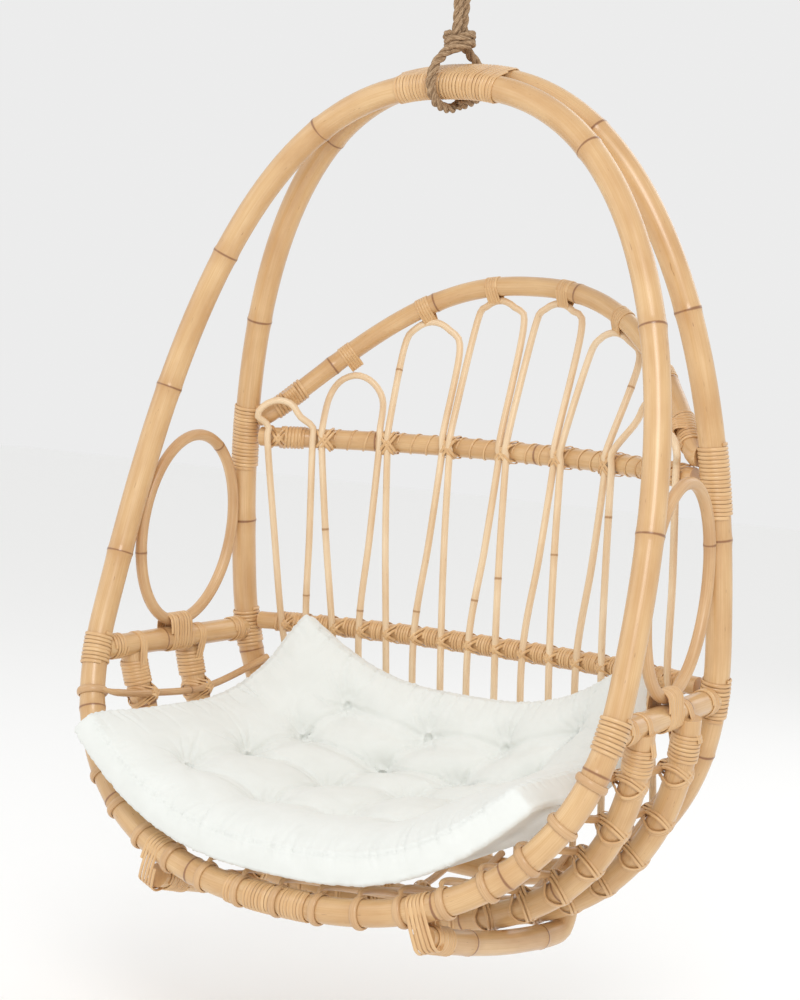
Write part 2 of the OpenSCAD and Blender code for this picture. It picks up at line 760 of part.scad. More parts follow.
module ceiling_plate() {
    color(steel) difference() {
        union() {
            translate([0, 0, -plate_t]) cylinder(d = plate_d, h = plate_t);
            translate([0, 0, boss_z]) cylinder(d = boss_d, h = boss_h + 1);
        }
        translate([0, 0, boss_z - 1]) cylinder(r = stem_d / 2 + stem_clear, h = boss_h + plate_t + 2);
        translate([0, 0, -recess_h]) cylinder(d = recess_d, h = recess_h + 1);
        for (a = [45 : 90 : 315])
            rotate(a) translate([screw_pcd / 2, 0, -plate_t - 1]) cylinder(d = screw_hole_d, h = plate_t + 2);
    }
}

ceiling_plate();
swivel_eye();
retaining_nut();
thrust_washer();
hanging_ring();
rope_thimble();
hanging_rope();
rope_knot();
top_binding();
front_hoop();
back_hoop();
front_seat_hoop();
rear_seat_hoop();
left_arm_rail();
right_arm_rail();
left_side_ring();
right_side_ring();
back_arch();
mid_rail();
lower_rail();
back_loop_1();
back_loop_2();
back_loop_3();
back_loop_4();
back_loop_5();
back_loop_6();
back_loop_7();
back_loop_8();
seat_rib_1();
seat_rib_2();
seat_rib_3();
seat_rib_4();
seat_rib_5();
seat_rib_6();
seat_rib_7();
seat_rib_8();
seat_rib_9();
seat_rib_10();
seat_rib_11();
seat_rib_12();
seat_rib_13();
seat_rib_14();
seat_rib_15();
seat_rib_16();
seat_rib_17();
rib_rings();
left_runner();
right_runner();
runner_bindings();
front_arm_bindings();
back_arm_bindings();
mid_rail_bindings();
seat_hoop_bindings();
ring_ties();
cushion();
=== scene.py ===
import math
import random

import bmesh
import bpy
import numpy as np
from mathutils import Matrix, Vector
from mathutils.kdtree import KDTree


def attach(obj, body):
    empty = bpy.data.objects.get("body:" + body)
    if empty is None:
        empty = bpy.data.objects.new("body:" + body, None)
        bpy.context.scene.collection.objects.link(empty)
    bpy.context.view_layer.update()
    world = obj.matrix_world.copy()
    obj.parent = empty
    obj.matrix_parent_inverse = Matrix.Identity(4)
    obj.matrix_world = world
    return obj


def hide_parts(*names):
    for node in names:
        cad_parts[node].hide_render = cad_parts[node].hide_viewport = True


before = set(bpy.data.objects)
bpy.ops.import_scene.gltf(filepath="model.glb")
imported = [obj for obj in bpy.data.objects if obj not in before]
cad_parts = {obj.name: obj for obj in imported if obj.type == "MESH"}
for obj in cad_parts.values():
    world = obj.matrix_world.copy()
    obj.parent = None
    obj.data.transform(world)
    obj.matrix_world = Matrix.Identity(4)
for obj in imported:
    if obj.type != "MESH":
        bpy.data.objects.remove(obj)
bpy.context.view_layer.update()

# ---- Where it is seen from ----------------------------------------------------------
# The chair hangs leaning back a little, so that its weight is under the rope. The
# camera leans with it and looks from the sitter's left, a little above the seat.

MM = 0.001
HANG_POINT = Vector((0, 0, -336)) * MM
LEAN = (
    Matrix.Translation(HANG_POINT)
    @ Matrix.Rotation(math.radians(3.4), 4, "X")
    @ Matrix.Translation(-HANG_POINT)
)


def look_from(azimuth, elevation, roll, distance, target):
    a, e, r = (math.radians(v) for v in (azimuth, elevation, roll))
    back = Vector((math.sin(a) * math.cos(e), -math.cos(a) * math.cos(e), math.sin(e)))
    right = Vector((math.cos(a), math.sin(a), 0))
    up = back.cross(right)
    across = right * math.cos(r) + up * math.sin(r)
    upright = up * math.cos(r) - right * math.sin(r)
    turn = Matrix((across, upright, back)).transposed().to_4x4()
    return Matrix.Translation(Vector(target) + back * distance) @ turn


def put(name, data):
    """Puts an object with this mesh, lamp or camera into the scene."""
    thing = bpy.data.objects.new(name, data)
    bpy.context.scene.collection.objects.link(thing)
    return thing


view = bpy.data.cameras.new("view")
view.sensor_fit = "VERTICAL"
view.sensor_height = 36
view.lens = 82.8
view.clip_end = 50
viewer = put("viewer", view)
viewer.matrix_world = LEAN @ look_from(azimuth=34.15, elevation=5.97, roll=2.35, distance=3.287,
                                       target=(-0.036, -0.045, -0.930))
bpy.context.scene.camera = viewer

# ---- Hanging rope ---------------------------------------------------------------------
# One length of laid jute, three strands, Ø14.5. It starts under the hoops, runs up through
# the knot and over the thimble, and comes back down through the knot and round the hoops.

ROPE_D = 14.5 * MM
ROPE_ROUTE = [
    (-8, 26, -361), (-8, 8, -372), (-8, -14, -374), (-8, -36, -369), (-8, -50, -352), (-8, -51, -334),
    (-7, -43, -316), (-4, -28, -300), (-1, -14, -286), (0, -9, -268), (0, -8, -248),
    (0, -9, -228), (0, -13, -206), (0, -22, -182), (0, -29, -162), (0, -29, -145),
    (0, -24, -132), (0, -14, -123), (0, 0, -120), (0, 14, -123), (0, 24, -132),
    (0, 29, -145), (0, 29, -162), (0, 22, -182), (0, 13, -206), (0, 9, -228),
    (0, 8, -248), (0, 9, -268), (1, 14, -285), (4, 29, -297), (7, 46, -310),
    (8, 51, -328), (8, 50, -344), (8, 38, -357), (8, 20, -363), (8, 4, -370),
]


SIDE, BEHIND, UP = Vector((1, 0, 0)), Vector((0, 1, 0)), Vector((0, 0, 1))


def mix(a, b, s):
    return a + (b - a) * s


def curve_at(points, i, s):
    """The smooth curve through some points, a share s of the way from point i to the next."""
    last = len(points) - 1
    a, b, c, d = (points[min(max(i + k, 0), last)] for k in (-1, 0, 1, 2))
    return 0.5 * (2 * b + (c - a) * s + (2 * a - 5 * b + 4 * c - d) * s * s
                  + (3 * b - a - 3 * c + d) * s ** 3)


def smooth_line(points, steps):
    """Points on the smooth curve through a few chosen ones."""
    spans = range(len(points) - 1)
    return [curve_at(points, i, k / steps) for i in spans for k in range(steps)] + [points[-1]]


def line_length(line):
    return sum((b - a).length for a, b in zip(line, line[1:]))


def points_along(line, wanted):
    """The points of a line at some rising distances from its start."""
    out, walked, i = [], 0.0, 0
    for want in wanted:
        while i < len(line) - 2 and walked + (line[i + 1] - line[i]).length < want:
            walked += (line[i + 1] - line[i]).length
            i += 1
        share = (want - walked) / (line[i + 1] - line[i]).length
        out.append(line[i].lerp(line[i + 1], min(max(share, 0), 1)))
    return out


def respace(line, count):
    """The same line with its points evenly spaced."""
    total = line_length(line)
    return points_along(line, [total * k / (count - 1) for k in range(count)])


def heading(line, i, ring):
    n = len(line)
    if ring:
        return (line[(i + 1) % n] - line[i - 1]).normalized()
    return (line[min(i + 1, n - 1)] - line[max(i - 1, 0)]).normalized()


# Millimetres from the nearest growth ring, for what has none.
FAR_FROM_RING = 60.0


def new_work():
    """A mesh being made, with the straightened-out place of each point and its growth ring."""
    bm = bmesh.new()
    bm.verts.layers.float_vector.new("lay")
    bm.verts.layers.float.new("ring")
    return bm


def sweep(bm, line, outs, outline, sizes, ring=False, shift=0.0, rings=None):
    """Runs an outline along a line. outs say which way the outline's first axis points."""
    lay = bm.verts.layers.float_vector["lay"]
    mark = bm.verts.layers.float["ring"]
    n, m = len(line), len(outline)
    rows = n if ring else n - 1
    along = [0.0]
    for a, b in zip(line, line[1:]):
        along.append(along[-1] + (b - a).length)
    stations = []
    for i in range(n):
        t = heading(line, i, ring)
        out = outs[i] if isinstance(outs, list) else outs
        out = (out - t * out.dot(t)).normalized()
        stations.append((line[i], out, t.cross(out)))
    made = bmesh.ops.create_grid(bm, x_segments=m, y_segments=rows, size=0.5)["verts"]
    for v in made:
        i = round((v.co.x + 0.5) * m) % m
        j = round((v.co.y + 0.5) * rows) % n
        c, out, side = stations[j]
        a, b = outline[i]
        size = sizes[j] if isinstance(sizes, list) else sizes
        v.co = c + (out * a + side * b) * size
        v[lay] = Vector((a * size, b * size, along[j] + shift))
        v[mark] = rings[j] if rings else FAR_FROM_RING
    bmesh.ops.remove_doubles(bm, verts=made, dist=1e-7)


def circle(sides):
    return [(math.cos(math.tau * k / sides), math.sin(math.tau * k / sides)) for k in range(sides)]


def finish_piece(bm, name, material, body="chair", lean=True, replaces=()):
    """Closes the ends, turns the faces outwards, leans the piece back and hands it to its body."""
    open_edges = [e for e in bm.edges if e.is_boundary]
    if open_edges:
        bmesh.ops.holes_fill(bm, edges=open_edges, sides=0)
    bmesh.ops.recalc_face_normals(bm, faces=bm.faces[:])
    if lean:
        bmesh.ops.transform(bm, matrix=LEAN, verts=bm.verts[:])
    mesh = bpy.data.meshes.new(name)
    bm.to_mesh(mesh)
    bm.free()
    for face in mesh.polygons:
        face.use_smooth = True
    mesh.set_sharp_from_angle(angle=math.radians(50))
    mesh.materials.append(material)
    piece = put(name, mesh)
    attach(piece, body)
    if replaces:
        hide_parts(*replaces)
    return piece


def paint(hex_value):
    """An sRGB hex colour as a linear one."""
    parts = [int(hex_value[i:i + 2], 16) / 255 for i in (1, 3, 5)]
    return (*[c / 12.92 if c <= 0.04045 else ((c + 0.055) / 1.055) ** 2.4 for c in parts], 1)


def add(material, kind, sets=None, **settings):
    """Adds one node with its settings, and links or fills its sockets."""
    node = material.node_tree.nodes.new("ShaderNode" + kind)
    for key, value in settings.items():
        setattr(node, key, value)
    for key, value in (sets or {}).items():
        if isinstance(value, bpy.types.NodeSocket):
            material.node_tree.links.new(value, node.inputs[key])
        else:
            node.inputs[key].default_value = value
    return node


def new_material(name):
    material = bpy.data.materials.new(name)
    material.use_nodes = True
    material.node_tree.nodes.clear()
    return material


def noise(material, vector, detail, stretch):
    """Noise with a scale of its own along each axis."""
    stretched = add(material, "Mapping", {0: vector, "Scale": stretch}).outputs[0]
    return add(material, "TexNoise", {"Vector": stretched, "Scale": 1.0, "Detail": detail}).outputs["Fac"]


def blend(material, share, first, second):
    """A mix of two colours, each a hex value or another node's."""
    colours = [paint(c) if isinstance(c, str) else c for c in (first, second)]
    return add(material, "Mix", {0: share, 6: colours[0], 7: colours[1]}, data_type="RGBA").outputs[2]


def bump(material, height, strength, depth_mm, **sets):
    inputs = {"Height": height, "Strength": strength, "Distance": depth_mm * MM, **sets}
    return add(material, "Bump", inputs).outputs[0]


def close_material(material, colour, rough, **sets):
    inputs = {"Base Color": colour, "Roughness": rough, **{k.replace("_", " "): v for k, v in sets.items()}}
    shader = add(material, "BsdfPrincipled", inputs)
    add(material, "OutputMaterial", {"Surface": shader.outputs[0]})


# Laid jute: matt brown fibres about 0.1 mm thick that run round each strand, some paler than others; the pale
# streaks are partly painted highlights, put on the fibres that stand proud in the bump. Drawn 1 mm wide so that
# they show.
jute = new_material("laid_jute")
fibre = noise(jute, add(jute, "Attribute", attribute_name="lay").outputs["Vector"], 4.0, (900, 900, 160))
fibre_tone_and_sheen = add(jute, "MapRange", {0: fibre, 1: 0.35, 2: 0.68}).outputs[0]
close_material(jute, blend(jute, fibre_tone_and_sheen, "#7A5C3E", "#C4A684"), 0.95, Normal=bump(jute, fibre, 0.9, 0.8))

route = [Vector(p) * MM for p in ROPE_ROUTE]
rope_line = respace(smooth_line(route, 8), 260)


LAY_LENGTH = 3.4 * ROPE_D


def rope_strands(bm, line):
    """Three strands laid round each other along a line."""
    strand_r = ROPE_D / 2 / (1 + 2 / math.sqrt(3))
    orbit = ROPE_D / 2 - strand_r
    step = line_length(line) / (len(line) - 1)
    for strand in range(3):
        twisted, normals = [], []
        for i, p in enumerate(line):
            t = heading(line, i, False)
            out = (SIDE - t * SIDE.dot(t)).normalized()
            a = math.tau * (strand / 3 + i * step / LAY_LENGTH)
            normal = out * math.cos(a) + t.cross(out) * math.sin(a)
            twisted.append(p + normal * orbit)
            normals.append(normal)
        sweep(bm, twisted, normals, circle(12), strand_r, shift=strand * 3.0)


bm = new_work()
rope_strands(bm, rope_line)
hanging_rope = finish_piece(bm, "hanging_rope_laid", jute, lean=False,
                            replaces=["hanging_rope"])

# The knot: the standing part's own tail turned round both runs and drawn tight.
KNOT_Z, KNOT_TURNS, KNOT_HALF, KNOT_TALL = -279, 2.15, (15, 20), 24
knot_line = []
for i in range(90):
    s = i / 89
    a = math.tau * (KNOT_TURNS * s + 0.6)
    swell = 1 + 0.12 * math.sin(math.tau * s * 1.5)
    knot_line.append(Vector((KNOT_HALF[0] * math.cos(a) * swell, KNOT_HALF[1] * math.sin(a),
                             KNOT_Z + (s - 0.5) * KNOT_TALL + 5 * math.sin(a + 0.5))) * MM)
bm = new_work()
rope_strands(bm, knot_line)
rope_knot = finish_piece(bm, "rope_knot_laid", jute, lean=False, replaces=["rope_knot"])

# ---- Ceiling fitting -------------------------------------------------------------------
# Zinc-plated steel: a plate for four screws, a swivel eye held by a nut over a washer, a
# welded ring, and a pressed thimble that keeps the rope from chafing.

# Zinc plating: a cool grey metal, duller in places where the air has got at it.
zinc = new_material("zinc_plated_steel")
where = add(zinc, "TexCoord").outputs["Object"]
dull = add(zinc, "TexNoise", {"Vector": where, "Scale": 60.0, "Detail": 5.0}).outputs["Fac"]
dull_rough = add(zinc, "MapRange", {0: dull, 3: 0.28, 4: 0.48}).outputs[0]
close_material(zinc, blend(zinc, dull, "#8F9499", "#C9CDD1"), dull_rough, Metallic=1.0,
               Normal=bump(zinc, dull, 0.1, 0.3))
for name in ("ceiling_plate", "swivel_eye", "retaining_nut", "thrust_washer", "hanging_ring", "rope_thimble"):
    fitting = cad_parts[name]
    fitting.data.materials.clear()
    fitting.data.materials.append(zinc)

# ---- Hoops -----------------------------------------------------------------------------
# The two main hoops: peeled rattan poles, Ø37, steamed and bent to an egg outline, each
# closed by a scarf joint and clear varnished. Growth rings stand a little proud.

# An egg outline is two half ovals that meet at its widest height, with each sine and cosine
# raised to a power. Heights are counted from the front hoop's foot, at FOOT_Z.
EGG = 0.844
POLE_R = 18.5
FOOT_Z = -1447.0
FRONT_W, FRONT_H, FRONT_REACH, FRONT_BELLY = 868.0, 1105.0, 326.0, 35.0
BACK_W, BACK_H, BACK_SPREAD, BACK_DROP = 828.0, 1157.0, 100.0, 40.0
FRONT_LOW, BACK_LOW = 0.30 * FRONT_H, 0.35 * BACK_H
TOP_Y = 19.0


def power(v, p):
    return math.copysign(abs(v) ** p, v)


def egg_z(t, high, low):
    c = math.cos(math.radians(t))
    return high * c ** EGG if c >= 0 else -low * (-c) ** EGG


def front_y_at(z):
    u = z / FRONT_H
    return -TOP_Y - FRONT_REACH * (1 - u) + FRONT_BELLY * 4 * u * (1 - u)


def back_y_at(z):
    return TOP_Y + BACK_SPREAD * (1 - (z + BACK_DROP) / BACK_H)


def egg_x(t, wide):
    return wide / 2 * power(math.sin(math.radians(t)), EGG)


def front_at(t):
    z = egg_z(t, FRONT_H - FRONT_LOW, FRONT_LOW) + FRONT_LOW
    return Vector((egg_x(t, FRONT_W), front_y_at(z), FOOT_Z + z))


def back_at(t):
    z = egg_z(t, BACK_H - BACK_LOW, BACK_LOW) + BACK_LOW - BACK_DROP
    return Vector((egg_x(t, BACK_W), back_y_at(z), FOOT_Z + z))


def even(f):
    """Turns an even angle into one that spaces an egg outline's points evenly."""
    f = math.radians(f)
    return math.degrees(math.atan2(power(math.sin(f), 1 / EGG), power(math.cos(f), 1 / EGG)))


def uneven(t):
    """The same turned back."""
    t = math.radians(t)
    return math.degrees(math.atan2(power(math.sin(t), EGG), power(math.cos(t), EGG)))


def growth(line, places, step_mm):
    """Adds points at a pole's growth rings, and says how far each point is from one."""
    total = line_length(line)
    wanted = sorted(
        {round(k * step_mm, 2) for k in range(int(total / step_mm) + 1)}
        | {round(p + d, 2) for p in places for d in (-9, -4, -1.6, 0, 1.6, 4, 9) if 0 < p + d < total}
        | {round(total, 2)}
    )
    marks = [min([abs(want - p) for p in places] + [FAR_FROM_RING]) for want in wanted]
    return points_along(line, wanted), marks


# As shares of a pole's thickness.
GIRTH_DRIFT, RING_PROUD, RING_SWELL = 0.006, 0.045, 0.02


def pole(name, line, diameter, out, material, places=(), replaces=(), slot="rattan", sides=20, ring=False,
         step_mm=9.0, seed=0, thin_mm=0):
    """A rattan pole along a line in millimetres, with its growth rings at the given places."""
    rng = random.Random(seed)
    if ring:
        line = line + [line[0]]
    line, marks = growth(line, places, step_mm)
    if ring:
        line, marks = line[:-1], marks[:-1]
    shift = rng.uniform(0, 40)
    wobble = [rng.uniform(-1, 1) for _ in range(12)]
    sizes, walked = [], 0.0
    for i, mark in enumerate(marks):
        if i:
            walked += (line[i] - line[i - 1]).length
        k = walked / 160
        uneven_girth = GIRTH_DRIFT * sum(w * math.sin(k * (j + 1) * 0.6 + j) for j, w in enumerate(wobble[:4]))
        proud = RING_PROUD * math.exp(-(mark / 3.5) ** 2) + RING_SWELL * math.exp(-(mark / 12) ** 2)
        left = line_length(line[i:]) if thin_mm and i > len(marks) - 12 else thin_mm
        thin = 0.5 + 0.5 * min(left / thin_mm, 1) if thin_mm else 1
        sizes.append(diameter / 2 * (1 + uneven_girth + proud) * thin * MM)
    bm = new_work()
    sweep(bm, [p * MM for p in line], out, circle(sides), sizes, ring, shift, marks)
    return finish_piece(bm, name, material, replaces=replaces)


def rattan_finish(name, pale, deep, shade, ring_tone, gloss, fibre_mm):
    """Peeled rattan: straw-coloured wood with fine lengthwise fibres and dark growth rings."""
    wood = new_material(name)
    where = add(wood, "Attribute", attribute_name="lay").outputs["Vector"]
    mark = add(wood, "Attribute", attribute_name="ring").outputs["Fac"]
    fibre = noise(wood, where, 3.0, (1000 / fibre_mm, 1000 / fibre_mm, 9))
    cloud = noise(wood, where, 4.0, (40, 40, 11))
    speck = noise(wood, where, 1.0, (420, 420, 60))

    def band(value, low, high, at_low=0.0, at_high=1.0):
        return add(wood, "MapRange", {0: value, 1: low, 2: high, 3: at_low, 4: at_high}).outputs[0]

    fibres = blend(wood, band(fibre, 0.26, 0.74), deep, pale)
    clouds = blend(wood, band(cloud, 0.34, 0.70), shade, fibres)
    softened = blend(wood, 0.45, clouds, fibres)
    specked = blend(wood, band(speck, 0.74, 0.80, 0.0, 0.55), softened, ring_tone)
    haloed = blend(wood, band(mark, 0.0, 22.0, 0.34, 0.0), specked, shade)
    jitter = add(wood, "Math", {0: cloud, 1: 2.4}, operation="MULTIPLY").outputs[0]
    edge = add(wood, "Math", {0: mark, 1: jitter}, operation="SUBTRACT").outputs[0]
    ringed = blend(wood, band(edge, -0.6, 1.1, 0.85, 0.0), haloed, ring_tone)
    close_material(wood, ringed, band(cloud, 0.0, 1.0, gloss - 0.06, gloss + 0.1),
                   Normal=bump(wood, fibre, 0.3, 0.2), Coat_Weight=0.35, Coat_Roughness=0.22)
    return wood


# Varnished rattan skin: the poles keep some of their hard glossy skin, so they shine softly.
varnished_pole = rattan_finish("varnished_rattan_pole", "#E3C091", "#D2AA75", "#B98955", "#835330", 0.30, 1.0)

front_line = [front_at(even(2 * k)) for k in range(180)]
back_line = [back_at(even(2 * k)) for k in range(180)]


def places_on(line, at, angles):
    """How far round a hoop the points at some angles are."""
    spots = []
    for angle in angles:
        aim = at(angle)
        best = min(range(len(line)), key=lambda i: (line[i] - aim).length)
        spots.append(line_length(line[:best + 1]))
    return spots


FRONT_RINGS = (30, 57, 79, 104, 133, 151, 196, 224, 250, 274, 290, 308, 334)
BACK_RINGS = (28, 58, 83, 112, 141, 170, 205, 232, 256, 274, 297, 331)
pole("front_hoop_pole", front_line, 2 * POLE_R, BEHIND, varnished_pole,
     places_on(front_line, front_at, FRONT_RINGS), ["front_hoop"], ring=True, seed=1)
pole("back_hoop_pole", back_line, 2 * POLE_R, BEHIND, varnished_pole,
     places_on(back_line, back_at, BACK_RINGS), ["back_hoop"], ring=True, seed=2)

# ---- Seat hoops and arm rails ------------------------------------------------------------
# Two U-shaped poles hang from the arm rails under the seat. The rails are straight poles
# that butt against the main hoops behind a binding, each end nailed through.

SEAT_DROP = (56.0, 74.0)
SEAT_TOP_Y = (-160.0, -30.0)
SEAT_FOOT_Y = (-120.0, 0.0)
ARM = 273.0
ARM_D = 34.0


def seat_at(which, t):
    drop = SEAT_DROP[which]
    b = FRONT_LOW + drop
    z = b * (1 - max(math.cos(math.radians(t)), 0) ** EGG)
    share = min(z / (ARM + drop), 1)
    y = SEAT_FOOT_Y[which] + (SEAT_TOP_Y[which] - SEAT_FOOT_Y[which]) * share
    return Vector((egg_x(t, FRONT_W), y, FOOT_Z - drop + z))


def seat_end(which):
    """The angle at which a seat hoop's end meets the underside of the arm rail."""
    drop = SEAT_DROP[which]
    return math.degrees(math.acos((1 - (ARM - ARM_D / 2 - 6 + drop) / (FRONT_LOW + drop)) ** (1 / EGG)))


def low_angle(depth, low):
    """The angle of an egg's point at some depth under its widest height."""
    return 180 - math.degrees(math.acos((depth / low) ** (1 / EGG)))


for which, node in enumerate(("front_seat_hoop", "rear_seat_hoop")):
    end = uneven(seat_end(which) + 2.2)
    line = [seat_at(which, even(end * (k / 60 - 1))) for k in range(121)]
    spots = [90 + 20 * which, 310, 520 - 30 * which, 760, 930 + 20 * which]
    pole(node + "_pole", line, 2 * POLE_R, BEHIND, varnished_pole, spots, [node], seed=3 + which)

ARM_FRONT_T = low_angle(FRONT_LOW - ARM, FRONT_LOW)
ARM_BACK_T = low_angle(BACK_LOW - ARM - BACK_DROP, BACK_LOW)
arm_front, arm_back = front_at(ARM_FRONT_T), back_at(ARM_BACK_T)


def flipped(line):
    return [Vector((-p.x, p.y, p.z)) for p in line]


def pole_pair(name, kind, line, diameter, out, material, places, seed, **how):
    """A pole at the sitter's right and its mirror image at the left."""
    for k, (hand, run) in enumerate((("right", line), ("left", flipped(line)))):
        pole(f"{hand}_{name}_{kind}", run, diameter, out, material, places[k], [f"{hand}_{name}"],
             seed=seed + k, **how)


ARM_END = 14.0
arm_run = (arm_back - arm_front).normalized()
arm_line = [arm_front + arm_run * ARM_END, arm_back - arm_run * ARM_END]
arm_line = [arm_line[0].lerp(arm_line[1], k / 20) for k in range(21)]
pole_pair("arm_rail", "pole", arm_line, ARM_D, UP, varnished_pole, ([205], [120]), seed=5)

# ---- Back rails and arch -----------------------------------------------------------------
# The arch, the middle rail and the lower rail are bent poles that bow out behind the
# sitter. Their ends butt against the back hoop under its bindings.

MID_D, LOWER_D, ARCH_D = 30.0, 27.0, 29.0
MID_H = 578
MID_Z = FOOT_Z + MID_H
LOWER_Z = FOOT_Z + ARM + 14
ARCH_Z = MID_Z + (MID_D + ARCH_D) / 2 + 0.6
MID_T = math.degrees(math.acos(((MID_H + BACK_DROP - BACK_LOW) / (BACK_H - BACK_LOW)) ** (1 / EGG)))
mid_end = back_at(MID_T)
BEHIND_BINDING = POLE_R + 3.8
MID_REACH = mid_end.x - BEHIND_BINDING - MID_D / 2
LOWER_REACH = arm_back.x - BEHIND_BINDING - LOWER_D / 3
ARCH_REACH = mid_end.x - BEHIND_BINDING - ARCH_D / 3


def bowed(x, reach, bow):
    return bow * (1 - min(abs(x) / reach, 1) ** 2.4)


def mid_y(x):
    return mid_end.y + bowed(x, MID_REACH, 125)


def lower_y(x):
    return arm_back.y + bowed(x, LOWER_REACH, 62)


def arch_y(x):
    return mid_end.y + bowed(x, ARCH_REACH, 165)


def arch_top(x):
    return ARCH_Z + 218 * (1 - min(abs(x) / ARCH_REACH, 1) ** 2.4) ** 1.15


def across(reach, overrun=6.0):
    return [(reach + overrun) * (k / 60 - 1) for k in range(121)]


mid_line = [Vector((x, mid_y(x), MID_Z)) for x in across(MID_REACH)]
lower_line = [Vector((x, lower_y(x), LOWER_Z)) for x in across(LOWER_REACH)]
arch_line = [Vector((x, arch_y(x), arch_top(x))) for x in across(ARCH_REACH)]
pole("mid_rail_pole", mid_line, MID_D, UP, varnished_pole, [180, 455, 690], ["mid_rail"], seed=7)
pole("lower_rail_pole", lower_line, LOWER_D, UP, varnished_pole, [150, 600], ["lower_rail"], seed=8)
pole("back_arch_pole", arch_line, ARCH_D, UP, varnished_pole, [140, 330, 580, 830], ["back_arch"], seed=9)

# ---- Side rings --------------------------------------------------------------------------
# Two canes, Ø17, each bent to an upright oval that fills the space between the hoops. Each
# stands on an arm rail and is tied down to it with split cane.

RING_D, RING_H = 17.0, 282.0
# Peeled cane: paler and duller than the poles, since its skin has been taken off.
peeled_cane = rattan_finish("peeled_cane", "#E0BF93", "#CA9E6C", "#B08153", "#875A34", 0.45, 1.3)
ring_middle = ARM + (ARM_D + RING_D + RING_H) / 2 + 0.6
ring_room = back_y_at(ring_middle) - front_y_at(ring_middle) - 2 * POLE_R - RING_D
ring_line = []
for k in range(120):
    a = math.tau * (k / 120 - 0.25)
    z = ring_middle + RING_H / 2 * math.sin(a)
    y = (front_y_at(z) + back_y_at(z)) / 2 + (ring_room / 2 - 4) * math.cos(a)
    x = arm_front.x + (arm_back.x - arm_front.x) * (y - arm_front.y) / (arm_back.y - arm_front.y)
    ring_line.append(Vector((x, y, FOOT_Z + z)))
pole_pair("side_ring", "cane", ring_line, RING_D, SIDE, peeled_cane, ([250, 520], [330, 610]), seed=10,
          slot="cane", ring=True, step_mm=7)

# ---- Looped back canes -------------------------------------------------------------------
# Eight canes, Ø10.5, each bent to a long loop. The tops are tied under the arch, neighbours
# meet at the middle rail, and the legs run down in front of both rails to the back hoop.

CANE_D = 10.5
CROSS_X = (0, 98, 197, 290, 352)
LEG_X = (24, 72, 120, 168, 214, 258, 300, 338)
LEG_PAIR = CANE_D / 2 + 0.9
ARCH_UNDER = (ARCH_D + CANE_D) / 2 + 0.3
LOOP_LEAN = (2, 12, 20, 10)
LOOP_SWELL = (1, 6, 4, 0)


def ahead(rail_d, slant):
    return (rail_d / 2 + CANE_D / 2 + 0.3) * math.hypot(1, slant)


def mid_front_y(x):
    return mid_y(x) - ahead(MID_D, (mid_y(x + 1) - mid_y(x - 1)) / 2)


def lower_front_y(x):
    return lower_y(x) - ahead(LOWER_D, (lower_y(x + 1) - lower_y(x - 1)) / 2)


def back_point(x):
    """The back hoop's lower half, as seen from the front."""
    t = 180 - math.degrees(math.asin(min(abs(x) / (BACK_W / 2), 1) ** (1 / EGG)))
    p = back_at(t)
    return Vector((x, p.y, p.z))


def leg(cross, foot_x):
    """A loop's leg, from the middle rail down past the lower rail to the back hoop."""
    foot = back_point(foot_x)
    behind = foot.y + POLE_R + CANE_D / 2 + 2
    low_y, high_y = lower_front_y(foot_x), mid_front_y(cross)
    return [
        Vector((cross, high_y, MID_Z + MID_D * 0.6)),
        Vector((cross, high_y, MID_Z - MID_D * 0.3)),
        Vector((mix(cross, foot_x, 0.4), mix(high_y, low_y, 0.5), mix(MID_Z, LOWER_Z, 0.5))),
        Vector((foot_x, low_y, LOWER_Z)),
        Vector((foot_x, mix(low_y, behind, 0.8), mix(LOWER_Z, foot.z, 0.6))),
        Vector((foot_x, behind, foot.z + 14)),
        Vector((foot_x, behind, foot.z - 12)),
    ]


# Core cane: the loops are split from the pole's pale heart, and take less varnish.
core_cane = rattan_finish("core_cane", "#F3DFC0", "#E2C49B", "#CFA87A", "#A5774A", 0.5, 1.1)
loop_tops = []
for n in range(4):
    inner = CROSS_X[n] + LEG_PAIR
    outer = CROSS_X[n + 1] - (0 if n == 3 else LEG_PAIR)
    middle = (inner + outer) / 2 + LOOP_LEAN[n]
    half = (outer - inner) / 2 + LOOP_SWELL[n]
    slope = (arch_top(middle - 5) - arch_top(middle + 5)) / 10
    hung_z = arch_top(middle) - (half + ARCH_UNDER + 1) * math.hypot(1, slope) - 0.3 * half
    round_z = max(hung_z, MID_Z + MID_D * 0.75)
    crown = []
    for a in (160, 125, 90, 55, 20):
        c, s = math.cos(math.radians(a)), math.sin(math.radians(a))
        x = middle + half * c
        y = mid_front_y(x) - CANE_D if n == 3 else (arch_y(middle) + arch_y(x)) / 2
        crown.append(Vector((x, y, round_z + 1.3 * half * s)))
    loop = smooth_line(leg(inner, LEG_X[2 * n])[::-1] + crown + leg(outer, LEG_X[2 * n + 1]), 14)
    loop_tops.append(crown[2] * 0.5 + crown[3] * 0.5)
    for number, line in ((5 + n, loop), (4 - n, flipped(loop))):
        pole(f"back_loop_{number}_cane", line, CANE_D, BEHIND, core_cane,
             [260 + 37 * number, 900 + 60 * n], [f"back_loop_{number}"], "cane", sides=12, seed=20 + number)

# ---- Seat ribs ---------------------------------------------------------------------------
# Seventeen canes, Ø11, laid over both seat hoops from the back hoop to the front one. Each
# front end is bent once round the front hoop, which leaves the row of fat rings seen there.

RIB_D = 11.0
OVER_POLE = POLE_R + RIB_D / 2 + 0.3


def rib_angle(k):
    return math.copysign(73 * (abs(k) / 8) ** 1.2, k)


def inward(a, b):
    """The direction from a hoop's rim to its middle, square to the run from a to b."""
    d = Vector((b.x - a.x, 0, b.z - a.z)).normalized()
    return Vector((-d.z, 0, d.x))


